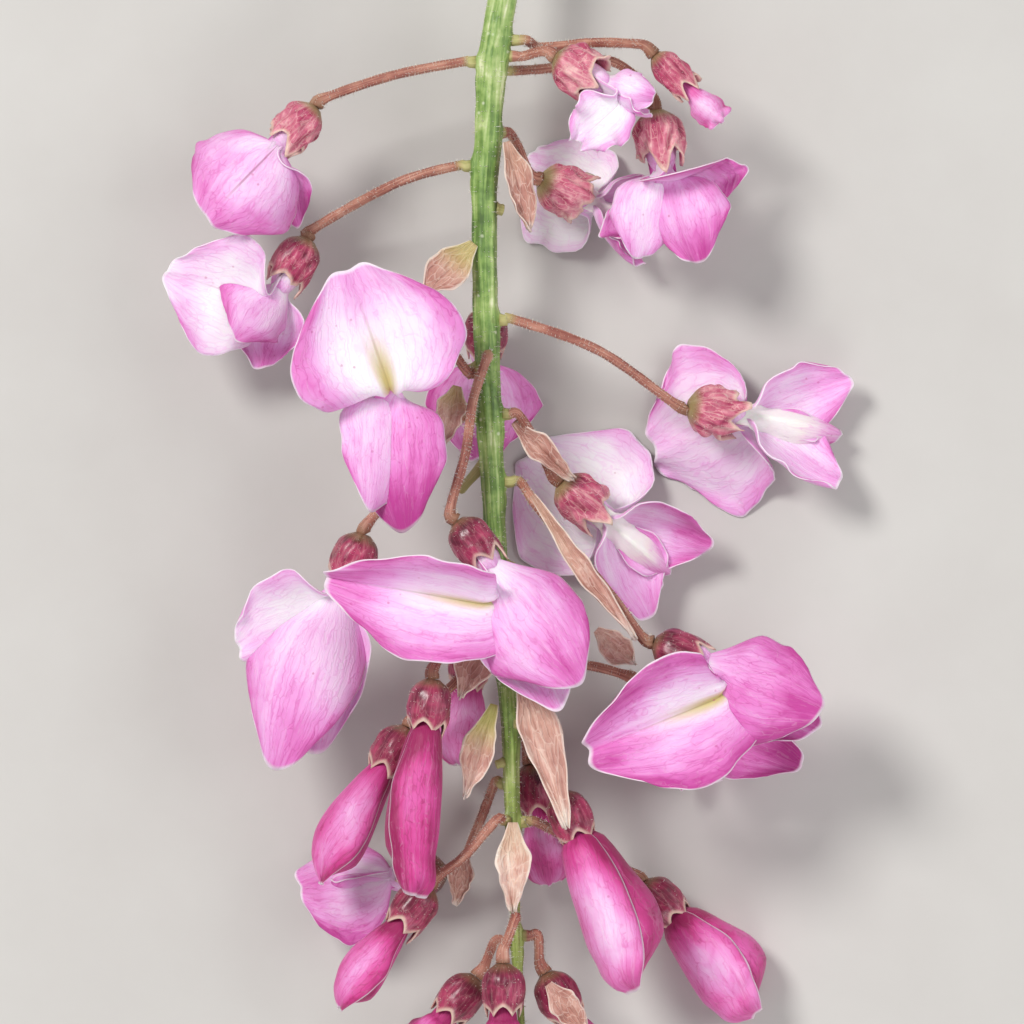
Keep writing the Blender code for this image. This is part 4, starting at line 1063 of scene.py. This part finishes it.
def add_stalk(skin, name, flower, rng):
    """Add a flower's stalk with its hairs, and its cup."""
    _, back, _ = directions(*flower["turn"])
    around = even_angles(STALK_AROUND)
    line = stalk_line(flower, STALK_RINGS)
    along = distances(line)
    turn = rng.uniform(0, 6)
    rings = []
    for i, point in enumerate(line):
        ahead = unit(line[min(i + 1, len(line) - 1)] - line[max(i - 1, 0)])
        ridge = 1 + STALK_RIDGE * np.cos(5 * around + 0.25 * along[i] + turn)
        ridge = ridge + 0.03 * math.sin(1.9 * along[i] + turn)
        foot = 0.30 * math.exp(-((along[i] / 0.9) ** 2))
        neck = (NECK_SWELL - 1) * smooth_step(-2.2, 0, along[i] - along[-1])
        radius = STALK_WIDE * (0.95 + foot + neck) * ridge
        rings.append(ring_points(point, ahead, back, radius, around))
    rings = np.array(rings)
    rows = rng.integers(2, len(line) - 1, int(HAIRS_PER_MM * along[-1]))
    add_hairs(skin, rings, line[:, None], rows, STALK_HAIR, rng)
    add_tube(skin, rings, 0, (0.0, 0.0, rng.random()))
    add_cup(skin, flower, WITHERED.get(name, FRESH), rng)


def add_cup(skin, flower, withered, rng):
    """Add a cup with pointed teeth that hug what it holds, crumpled where it is withered."""
    axis, back, _ = directions(*flower["turn"])
    base = np.array(flower["at"])
    wide = flower.get("cup_wide", CUP_WIDE)
    around = even_angles(STALK_AROUND * 2)
    rim = cup_rim(around)
    one, two, three, four = rng.uniform(0, 6, 4)
    chance = rng.random()
    tooth = 0.5 - 0.5 * np.cos(TEETH * around)

    def ring(share, wall):
        """The ring at a share of the cup's length, this far inside its outer side."""
        body = float(through(CUP_OUTLINE, share)) * (0.90 + 0.12 * withered)
        lobes = 1 + 0.035 * np.cos(TEETH * around) * share + 0.03 * np.sin(3 * around + one + 2 * share)
        hug = 1 - 0.14 * smooth_step(0.72, 1, share) * tooth * (1 - withered)
        creases = np.sin(6 * around + 3 * np.sin(4 * share + two) + three)
        creases += np.sin(11 * around - 7 * share + four)
        creases += 0.7 * np.sin(3 * around + 9 * share + one)
        crumple = (0.012 + withered * 0.062) * creases * smooth_step(0.05, 0.4, share)
        curl = withered * 0.42 * smooth_step(0.78, 1, share) * tooth
        curl = curl * (0.55 + 0.75 * np.sin(2 * around + one))
        radius = np.maximum(wide * body * lobes * hug * (1 + crumple + curl) - wall, 0.15)
        far = CUP_LONG * share + rim * smooth_step(0.5, 1, share)
        far = far + withered * 0.55 * share**3 * np.sin(4 * around + two) * (0.5 + tooth)
        return base + axis * far[:, None] + ring_points(np.zeros(3), axis, back, radius, around)

    shares = [*np.linspace(0, 1, CUP_FINE_RINGS), *np.linspace(1, 0.25, CUP_INNER_RINGS)]
    walls = [0] * CUP_FINE_RINGS + [CUP_FINE_WALL * 0.5] + [CUP_FINE_WALL] * (CUP_INNER_RINGS - 1)
    rings = np.array([ring(share, wall) for share, wall in zip(shares, walls)])
    add_tube(skin, rings, 1, (withered, 0.0, chance), shares=shares)
    middles = base + axis * ((rings - base) @ axis)[..., None]
    add_hairs(skin, rings, middles, rng.integers(1, CUP_FINE_RINGS, CUP_HAIRS), CUP_HAIR, rng)


def add_bract(skin, name, look, rng):
    """Add a thin bract, rooted a little inside what it grows on."""
    look = {**BRACT, **look}
    along, face, _ = directions(*look.pop("turn"))
    root = np.array(look.pop("root")) - along * BRACT_ROOT
    look["length"] += BRACT_ROOT
    rows, columns = BRACT_MESH
    grid = blade(root, along, face, rows=rows, columns=columns, **look)
    grid = enlivened(grid, rng, 0.28, 0.16, 4.5)
    pale, green = BRACT_LOOKS[name]
    add_sheet(skin, grid, BRACT_FINE, 0, green, pale, rng.random())


def stem_radius(flowers, height, around, radius):
    """The stem's radius round it at a height, with ridges and a knob with a low heel at each stalk,
    and how near each place is to a knob."""
    ridges = 0.045 * np.cos(6 * around + 0.06 * height) + 0.02 * np.cos(11 * around - 0.12 * height)
    lumps = 0.022 * np.sin(0.85 * height + 2 * np.cos(around)) + 0.015 * np.sin(1.7 * height - 3 * around)
    reach = radius * (1 + ridges + lumps)
    near = np.zeros_like(around)
    for flower in flowers.values():
        turn = (np.degrees(around) - node_angle(flower) + 180) % 360 - 180
        rise = height - flower["node"][0]
        knob = np.exp(-((turn / KNOB_TURN) ** 2) - (rise / KNOB_LONG) ** 2)
        heel = 0.45 * np.exp(-((turn / 38) ** 2) - ((rise + 1.6) / 1.3) ** 2)
        near = np.maximum(near, np.maximum(knob, heel))
    return reach + KNOB_OUT * near, near


def add_stem(skin, flowers, rng):
    """Add the stem with its cut end, knobs, hairs and stubs."""
    around = even_angles(STEM_AROUND)
    ways = np.stack([np.cos(around), np.zeros_like(around), np.sin(around)], axis=1)
    heights = np.arange(STEM[-1][1], STEM[0][1] + STEM_STEP / 2, STEM_STEP)[::-1]
    rings, closeness = [], []
    for height in heights:
        middle, radius = stem_at(height)
        reach, near = stem_radius(flowers, height, around, radius)
        rings.append(middle + ways * reach[:, None])
        closeness.append(near)
    middle, _ = stem_at(heights[0])
    cut = [middle + (rings[0] - middle) * size + np.array([0, rise, 0]) for size, rise in STEM_CUT]
    rings = np.array([*cut, *rings])
    count = len(rings)
    places, looks = np.zeros((2, count, STEM_AROUND, 3))
    places[..., 0], places[..., 1] = np.cos(around), np.sin(around)
    places[..., 2] = rings[:, 0, 1, None] / 10
    looks[:3, :, 0] = np.array(CUT_PALE)[:, None]
    looks[len(cut):, :, 1] = closeness
    skin.add(rings, tube_faces(count, STEM_AROUND, turned_over=True), 0, places, looks)
    rows = rng.integers(4, count - 1, STEM_HAIRS)
    add_hairs(skin, rings, rings.mean(axis=1, keepdims=True), rows, STEM_HAIR, rng)
    for stub in STUBS:
        add_stub(skin, *stub, rng)


def add_stub(skin, height, turn, length, wide, lean, rng):
    """Add the short scar or stub of a stalk that has fallen."""
    middle, radius = stem_at(height)
    a = math.radians(turn)
    out = unit([math.cos(a), -lean, math.sin(a)])
    foot = middle + out * radius * 0.9
    around = even_angles(STUB_AROUND)
    rings = [
        ring_points(foot + out * length * share, out, np.array([0, 1.0, 0]), wide * size, around)
        for share, size in STUB_OUTLINE
    ]
    add_tube(skin, np.array(rings), 1, (1.0, 0.0, rng.random()))


def srgb(code):
    """The linear colour of a #rrggbb code."""
    parts = [int(code[i:i + 2], 16) / 255 for i in (1, 3, 5)]
    return tuple(c / 12.92 if c <= 0.04045 else ((c + 0.055) / 1.055) ** 2.4 for c in parts) + (1.0,)


class Shade:
    """Short ways to make and join the nodes of one material. A value may be a node's output, a
    number or a #rrggbb code."""

    def __init__(self, name, **constants):
        self.material = bpy.data.materials.new(name)
        self.material.use_nodes = True
        self.tree = self.material.node_tree
        self.shader = self.tree.nodes["Principled BSDF"]
        for key, value in constants.items():
            socket = key.replace("_", " ").title().replace("Ior", "IOR")
            self.shader.inputs[socket].default_value = value

    def node(self, kind, inputs=(), **settings):
        """A new node with these values in its inputs."""
        made = self.tree.nodes.new("ShaderNode" + kind)
        for key, value in settings.items():
            setattr(made, key, value)
        for key, value in dict(inputs).items():
            self.join(value, made.inputs[key])
        return made

    def join(self, value, socket):
        if isinstance(value, bpy.types.NodeSocket):
            self.tree.links.new(value, socket)
        else:
            socket.default_value = srgb(value) if isinstance(value, str) else value

    def math(self, operation, a, b=0.0):
        return self.node("Math", {0: a, 1: b}, operation=operation).outputs[0]

    def chain(self, operation, values):
        """The values taken together one after the other."""
        total = values[0]
        for value in values[1:]:
            total = self.math(operation, total, value)
        return total

    def sum(self, *values):
        return self.chain("ADD", values)

    def times(self, *values):
        return self.chain("MULTIPLY", values)

    def swing(self, value, *by):
        """How far a value from 0 to 1 is from its middle, times the others."""
        return self.times(self.math("SUBTRACT", value, 0.5), *by)

    def step(self, low, high, value):
        """A smooth step from 0 at low to 1 at high, or from 1 to 0 where high is the lower."""
        inputs = {"Value": value, "From Min": low, "From Max": high}
        if low > high:
            inputs.update({"From Min": high, "From Max": low, "To Min": 1.0, "To Max": 0.0})
        return self.node("MapRange", inputs, interpolation_type="SMOOTHSTEP").outputs["Result"]

    def mark(self, name):
        """The three values of a mesh's mark."""
        vector = self.node("Attribute", attribute_name=name).outputs["Vector"]
        return self.node("SeparateXYZ", {0: vector}).outputs[:]

    def vector(self, x, y, z):
        return self.node("CombineXYZ", {0: x, 1: y, 2: z}).outputs[0]

    def here(self):
        """The place on the piece, in metres."""
        return self.node("TexCoord").outputs["Object"]

    def noise(self, vector, scale, detail=2.0, roughness=0.5, distortion=0.0):
        inputs = {"Vector": vector, "Scale": scale, "Detail": detail}
        inputs.update({"Roughness": roughness, "Distortion": distortion})
        return self.node("TexNoise", inputs).outputs["Fac"]

    def cells(self, vector, scale, feature="DISTANCE_TO_EDGE"):
        """How far a place is from the edge of its irregular cell, or with F1 from the cell's middle."""
        made = self.node("TexVoronoi", {"Vector": vector, "Scale": scale}, feature=feature)
        return made.outputs["Distance"]

    def dots(self, size, spacing, where, patches):
        """Soft dots, only in patches. size and where are the two ends of their smooth steps."""
        near = self.step(*size, self.cells(self.here(), spacing, "F1"))
        return self.times(near, self.step(*where, self.noise(self.here(), patches)))

    def mix(self, share, first, second):
        """The first colour where share is 0 and the second where it is 1."""
        made = self.node("Mix", data_type="RGBA")
        for value, place in ((share, 0), (first, 6), (second, 7)):
            self.join(value, made.inputs[place])
        return made.outputs[2]

    def ramp(self, value, stops):
        """The colour at a value on a scale of colours."""
        made = self.node("ValToRGB", {"Fac": value})
        band = made.color_ramp
        while len(band.elements) < len(stops):
            band.elements.new(0.5)
        for element, (place, code) in zip(band.elements, stops):
            element.position = place
            element.color = srgb(code)
        return made.outputs["Color"]

    def finished(self, colour, roughness, height=None, strength=0.6, far=0.1):
        """The material with this colour, roughness and relief. far is in millimetres."""
        self.join(colour, self.shader.inputs["Base Color"])
        self.join(roughness, self.shader.inputs["Roughness"])
        if height is not None:
            inputs = {"Height": height, "Strength": strength, "Distance": far * MM}
            self.join(self.node("Bump", inputs).outputs["Normal"], self.shader.inputs["Normal"])
        return self.material


def petal_level(s, kind, across, w, extra, inner):
    """How much deeper or paler a petal is at its margin, end, foot and middle, and on a bud under its painted
    highlight.
    """
    margin = s.step(0.45, 1.0, across)
    end = s.step(0.50, 1.0, w)
    foot = s.step(0.34, 0.02, w)
    if kind == "bud":
        # On a bud, extra carries the painted highlight, which makes the side that faces up paler.
        return s.sum(s.times(extra, -0.42), s.times(foot, 0.30), s.times(margin, 0.24))
    if kind == "wing":
        return s.sum(s.times(margin, 0.20), s.times(end, 0.26), s.times(foot, -0.30))
    if kind == "keel":
        return s.sum(s.times(s.step(0.42, 0.95, w), 0.78), s.times(foot, -0.20))
    pale = s.times(s.step(0.85, 0.05, across), s.step(1.0, 0.35, w), s.sum(0.25, s.times(inner, 0.55)))
    return s.sum(s.times(margin, 0.30), s.times(end, 0.18), s.times(pale, -0.38))


def guide_marked(s, colour, streak, across, w, extra, inner):
    """A standard petal's colour with the guide mark at its foot, the pale halo round the mark and the
    line down its middle."""
    guide = s.math("MAXIMUM", extra, 0.0)
    flush = s.times(
        guide, inner, s.step(0.20, 0.02, across), s.step(0.02, 0.08, w), s.step(0.74, 0.26, w),
    )
    ragged = s.step(0.18, 0.48, s.sum(s.times(streak, 0.6), s.times(flush, 0.30)))
    halo = s.times(guide, inner, s.step(0.34, 0.06, across), s.step(0.90, 0.30, w), 0.55)
    colour = s.mix(halo, colour, "#F5E6F2")
    colour = s.mix(s.times(flush, ragged, 0.95), colour, s.mix(streak, "#B49A55", "#D9CF80"))
    shown = s.sum(s.times(inner, 0.30), s.times(s.math("SUBTRACT", 1.0, inner), 0.12))
    shown = s.sum(shown, s.math("MAXIMUM", s.times(extra, -0.5), 0.0))
    line = s.times(s.step(0.024, 0.004, across), s.step(0.95, 0.45, w), shown)
    return s.mix(line, colour, s.mix(guide, "#9A5478", "#8E6A40"))


def petal_material(name, stops, kind):
    """Pink tissue, deeper towards its margins, with veins that fan out from its foot and a thin pale rim,
    which is a painted highlight of light catching the edge. A bud's outer petal also carries a painted
    highlight on its side that faces up. kind is standard, wing, keel or bud."""
    s = Shade(
        name, subsurface_weight=0.22, subsurface_radius=(1.0, 0.45, 0.75), subsurface_scale=0.45 * MM,
        sheen_weight=0.10, sheen_roughness=0.5, specular_ior_level=0.30,
    )
    u, w, extra = s.mark("place")
    tone, inner, chance = s.mark("look")
    across = s.math("ABSOLUTE", u)
    seed = s.times(chance, 40.0)
    streak = s.noise(s.vector(s.times(u, 13.0), s.times(w, 2.0), seed), 1.0, 5.0, 0.66)
    broad = s.noise(s.vector(s.times(u, 1.8), s.times(w, 2.0), seed), 1.0, 2.0, 0.5)
    mottle = s.noise(s.here(), 520.0, 4.0, 0.62)
    warp = s.swing(s.noise(s.here(), 300.0, 3.0, 0.6), 3.4)
    fan = s.vector(s.sum(s.times(u, 13.0), warp), s.sum(s.times(w, 6.0), warp), seed)
    vein = s.times(s.step(0.10, 0.0, s.cells(fan, 1.0)), s.step(0.02, 0.2, w))
    coarse = s.vector(s.sum(s.times(u, 6.0), s.times(warp, 0.7)), s.times(w, 2.6), s.sum(seed, 7.0))
    rib = s.step(0.07, 0.0, s.cells(coarse, 1.0))
    level = s.sum(
        tone, s.swing(streak, 0.26), s.swing(broad, 0.85), s.swing(mottle, 0.22), s.times(rib, 0.05),
        petal_level(s, kind, across, w, extra, inner),
    )
    colour = s.ramp(level, stops)
    deep_vein = s.times(vein, s.step(0.32, 0.55, streak), 0.50)
    colour = s.mix(deep_vein, colour, s.ramp(s.sum(level, 0.24), stops))
    pale_vein = s.times(vein, s.step(0.60, 0.36, streak), 0.10 if kind == "bud" else 0.16)
    colour = s.mix(pale_vein, colour, "#FBEAF8")
    if kind == "standard":
        colour = guide_marked(s, colour, streak, across, w, extra, inner)
    specks = s.dots((0.17, 0.07), 900.0, (0.54, 0.66), 230.0)
    colour = s.mix(s.times(specks, 0.45), colour, "#B8347E")
    # Painted highlight: a thin pale line along the edge stands in for the light that catches the rim.
    rim = s.step(0.972, 0.998, s.math("MAXIMUM", across, w))
    colour = s.mix(s.times(rim, 0.80), colour, "#FDF3FB")
    grain = s.times(s.noise(s.here(), 3600.0), 0.2)
    relief = s.sum(s.times(vein, 0.6), s.times(rib, 0.5), s.times(streak, 0.5), grain)
    return s.finished(colour, s.sum(0.40, s.times(streak, 0.22)), relief, 0.36, 0.10)


def cup_material():
    """Thin maroon tissue, tan at its teeth, and pinkish and crumpled where it is withered."""
    s = Shade(
        "cup", subsurface_weight=0.20, subsurface_radius=(1.0, 0.4, 0.45), subsurface_scale=0.5 * MM,
        sheen_weight=0.04, specular_ior_level=0.55,
    )
    x, y, far = s.mark("place")
    withered, share, chance = s.mark("look")
    long_place = s.sum(s.times(far, 2.4), s.times(chance, 30.0))
    streak = s.noise(s.vector(s.times(x, 2.6), s.times(y, 2.6), long_place), 1.0, 4.0, 0.60)
    patch = s.noise(s.here(), 520.0, 4.0, 0.62)
    fine = s.noise(s.here(), 1500.0, 3.0, 0.6)
    worn = s.sum(0.50, s.times(withered, 0.50))
    level = s.sum(
        s.swing(streak, worn), s.swing(patch, worn, 1.2), s.swing(fine, worn, 0.5),
        s.times(withered, 0.42), s.times(share, 0.16), 0.12,
    )
    colour = s.ramp(level, MAROONS)
    net = s.vector(s.times(x, 4.5), s.times(y, 4.5), s.sum(s.times(far, 5.0), s.times(patch, 2.4)))
    crease = s.times(s.step(0.08, 0.0, s.cells(net, 1.0)), s.sum(0.10, s.times(withered, 0.34)))
    colour = s.mix(crease, colour, "#F0C9C0")
    base = s.times(s.step(0.26, 0.04, share), s.sum(0.30, s.times(withered, 0.5)))
    colour = s.mix(base, colour, s.mix(patch, "#6E6A34", "#A3A05C"))
    colour = s.mix(s.times(s.step(0.86, 0.99, share), 0.85), colour, "#EBCFBC")
    roughness = s.sum(0.18, s.times(withered, 0.14), s.times(patch, 0.28))
    relief = s.times(s.sum(streak, s.times(patch, 0.8), s.times(fine, 0.6)), worn)
    return s.finished(colour, roughness, relief, far=0.18)


def stalk_material():
    """Reddish brown skin with fine lengthwise streaks, greenish at the stem."""
    s = Shade(
        "stalk", subsurface_weight=0.06, subsurface_radius=(1.0, 0.5, 0.4), subsurface_scale=0.4 * MM,
        specular_ior_level=0.5,
    )
    x, y, far = s.mark("place")
    green, share, chance = s.mark("look")
    long_place = s.sum(s.times(far, 1.6), s.times(chance, 30.0))
    streak = s.noise(s.vector(s.times(x, 3.2), s.times(y, 3.2), long_place), 1.0, 4.0, 0.65)
    patch = s.noise(s.here(), 420.0, 3.0, 0.6)
    colour = s.ramp(s.sum(0.5, s.swing(streak, 1.4), s.swing(patch, 0.9)), BROWNS)
    foot = s.math("MAXIMUM", s.step(0.10, 0.03, share), green)
    colour = s.mix(s.times(foot, 0.85), colour, s.mix(streak, "#93A052", "#CFC98C"))
    neck = s.times(s.step(0.90, 1.0, share), s.math("SUBTRACT", 1.0, green), 0.5)
    colour = s.mix(neck, colour, "#6F5A34")
    relief = s.sum(streak, s.times(s.noise(s.here(), 2600.0), 0.5))
    return s.finished(colour, s.sum(0.42, s.times(patch, 0.25)), relief, far=0.14)


def stem_material():
    """Yellowish green skin, mottled and ridged, paler at its knobs and pale where it is cut."""
    s = Shade(
        "stem", subsurface_weight=0.10, subsurface_radius=(0.7, 1.0, 0.3), subsurface_scale=0.6 * MM,
        specular_ior_level=0.55,
    )
    x, y, far = s.mark("place")
    cut, knob, _ = s.mark("look")
    streak = s.noise(s.vector(s.times(x, 3.0), s.times(y, 3.0), s.times(far, 1.5)), 1.0, 4.0, 0.60, 0.4)
    patch = s.noise(s.here(), 260.0, 4.0, 0.60)
    fine = s.noise(s.here(), 1300.0, 3.0, 0.6)
    top = s.times(s.step(3.0, 5.6, far), 0.24)
    level = s.sum(0.40, s.swing(streak, 1.5), s.swing(patch, 1.5), s.swing(fine, 0.4), top)
    colour = s.ramp(level, GREENS)
    colour = s.mix(s.times(s.step(-1.0, -3.8, far), 0.40), colour, "#A9A65A")
    flecks = s.dots((0.24, 0.08), 900.0, (0.50, 0.62), 330.0)
    colour = s.mix(s.times(flecks, 0.55), colour, "#EDF1D6")
    dark = s.dots((0.20, 0.08), 420.0, (0.55, 0.66), 210.0)
    colour = s.mix(s.times(dark, 0.6), colour, "#5F5A22")
    colour = s.mix(s.times(s.step(0.30, 1.0, knob), 0.75), colour, s.mix(patch, "#7C9440", "#D3D89A"))
    colour = s.mix(cut, colour, s.mix(streak, "#C9D69A", "#EEF0CF"))
    relief = s.sum(streak, s.times(patch, 0.4), s.times(fine, 0.3))
    return s.finished(colour, s.sum(0.30, s.times(patch, 0.3)), relief, far=0.20)


def bract_material():
    """Dry papery tissue, pinkish tan, with pale branching veins and a pale outline."""
    s = Shade(
        "bract", subsurface_weight=0.22, subsurface_radius=(1.0, 0.7, 0.5), subsurface_scale=0.4 * MM,
        specular_ior_level=0.4,
    )
    u, w, green = s.mark("place")
    pale, _, chance = s.mark("look")
    seed = s.times(chance, 40.0)
    streak = s.noise(s.vector(s.times(u, 6.0), s.times(w, 3.0), seed), 1.0, 4.0, 0.65)
    patch = s.noise(s.here(), 420.0, 4.0, 0.62)
    warp = s.swing(s.noise(s.here(), 420.0, 2.0), 1.6)
    net = s.cells(s.vector(s.sum(s.times(u, 3.4), warp), s.sum(s.times(w, 6.0), warp), seed), 1.0)
    level = s.sum(0.28, s.times(pale, 0.50), s.swing(streak, 0.9), s.swing(patch, 0.9))
    colour = s.ramp(level, TANS)
    colour = s.mix(s.times(s.step(0.060, 0.0, net), 0.42), colour, "#F4E0D2")
    leafy = s.times(green, s.step(0.60, 0.1, w), 0.9)
    colour = s.mix(leafy, colour, s.mix(streak, "#A9AE4A", "#DAD690"))
    rim = s.step(0.86, 0.97, s.math("MAXIMUM", s.math("ABSOLUTE", u), w))
    colour = s.mix(s.times(rim, 0.65), colour, "#F7EADD")
    relief = s.sum(s.times(s.step(0.24, 0.0, net), 0.7), streak, s.times(patch, 0.7))
    return s.finished(colour, s.sum(0.46, s.times(patch, 0.25)), relief, far=0.16)


def hair_material():
    """Pale, nearly colourless hairs."""
    s = Shade("hair", specular_ior_level=0.3)
    return s.finished(s.ramp(s.noise(s.here(), 500.0, 2.0), PALE_HAIRS), 0.7)


def floor_material():
    """A plain pale surface with a faint grain."""
    s = Shade("floor", specular_ior_level=0.2)
    grain = s.noise(s.here(), 40.0, 6.0, 0.6)
    return s.finished(s.ramp(grain, FLOOR_GREYS), s.sum(0.75, s.times(grain, 0.1)))


def finishes():
    """The materials of each finish's pieces, in the order of their slots on a mesh."""
    cup, stalk, hair = cup_material(), stalk_material(), hair_material()
    return {
        "petal": [
            petal_material("petal", PINKS, "standard"), petal_material("wing", PINKS, "wing"),
            petal_material("keel", CREAMS, "keel"),
        ],
        "bud": [petal_material("bud", DEEP_PINKS, "bud")],
        "stalk": [stalk, cup, hair],
        "stem": [stem_material(), stalk, hair],
        "bract": [bract_material()],
    }


def dressed(piece, node):
    """Hide the imported part that a piece stands for, and hang the piece on the root body."""
    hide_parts(node)
    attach(piece, "root")


def build_piece(name, node, slot, looks, add, *about):
    """Make one piece, whose shape the function add gives a skin."""
    skin = Skin()
    add(skin, *about)
    dressed(skin.made(name, looks[slot]), node)


def build_flower(name, flower, looks):
    """Make a flower's petals or its bud, its stalk with the cup, and the bract on the stalk."""
    rng = np.random.default_rng(FLOWER_SEED + int(name))
    if "bud" in flower:
        build_piece("bud_" + name, "petals_" + name, "bud", looks, add_bud, name, flower, rng)
    else:
        build_piece("flower_" + name, "petals_" + name, "petal", looks, add_open_petals, name, flower, rng)
    build_piece("pedicel_" + name, "stalk_" + name, "stalk", looks, add_stalk, name, flower, rng)
    if "bract" in flower:
        bract = flower["bract"]
        build_piece("bractlet_" + name, "stalk_" + name, "bract", looks, add_bract, name, bract, rng)


def build_raceme():
    """Make all pieces of the raceme."""
    looks = finishes()
    flowers = all_flowers()
    for name, flower in flowers.items():
        build_flower(name, flower, looks)
    for name, bract in BRACTS.items():
        rng = np.random.default_rng(BRACT_SEED + int(name))
        build_piece("papery_bract_" + name, "bract_" + name, "bract", looks, add_bract, name, bract, rng)
    rng = np.random.default_rng(STEM_SEED)
    build_piece("rachis", "stem", "stem", looks, add_stem, flowers, rng)


def build_floor():
    """Make the floor that the raceme lies on."""
    mesh = bpy.data.meshes.new("floor")
    corners = [(x * FLOOR_HALF, y * FLOOR_HALF, 0) for x, y in ((-1, -1), (1, -1), (1, 1), (-1, 1))]
    mesh.from_pydata(corners, [], [(0, 1, 2, 3)])
    mesh.materials.append(floor_material())
    floor = bpy.data.objects.new("floor", mesh)
    bpy.context.scene.collection.objects.link(floor)


def add_light(name, place, size, power, colour):
    """Add a round light that is turned towards the middle of the floor."""
    light = bpy.data.lights.new(name, "AREA")
    light.shape, light.size, light.energy, light.color = "DISK", size, power, colour
    made = bpy.data.objects.new(name, light)
    bpy.context.scene.collection.objects.link(made)
    made.location = place
    x, y, z = place
    made.rotation_euler = (math.atan2(math.hypot(x, y), z), 0, math.atan2(-y, -x) - math.pi / 2)


def build_lights():
    """Add the lights and the even light from all round."""
    for name, light in LIGHTS.items():
        add_light(name, *light)
    world = bpy.data.worlds.new("studio")
    world.use_nodes = True
    background = world.node_tree.nodes["Background"]
    background.inputs["Color"].default_value = (1.0, 1.0, 1.0, 1)
    background.inputs["Strength"].default_value = EVEN_LIGHT
    bpy.context.scene.world = world
    bpy.context.scene.view_settings.view_transform = "Standard"


def build_camera():
    """Add the camera straight above the middle of the photograph's frame."""
    data = bpy.data.cameras.new("camera")
    data.sensor_width = SENSOR
    data.lens = SENSOR * CAMERA_FAR / FRAME_WIDE
    data.clip_start, data.clip_end = NEAREST_SEEN, FARTHEST_SEEN
    camera = bpy.data.objects.new("camera", data)
    camera.location = OFFSET + np.array([0, 0, CAMERA_FAR * MM])
    bpy.context.scene.collection.objects.link(camera)
    bpy.context.scene.camera = camera


build_raceme()
build_floor()
build_lights()
build_camera()
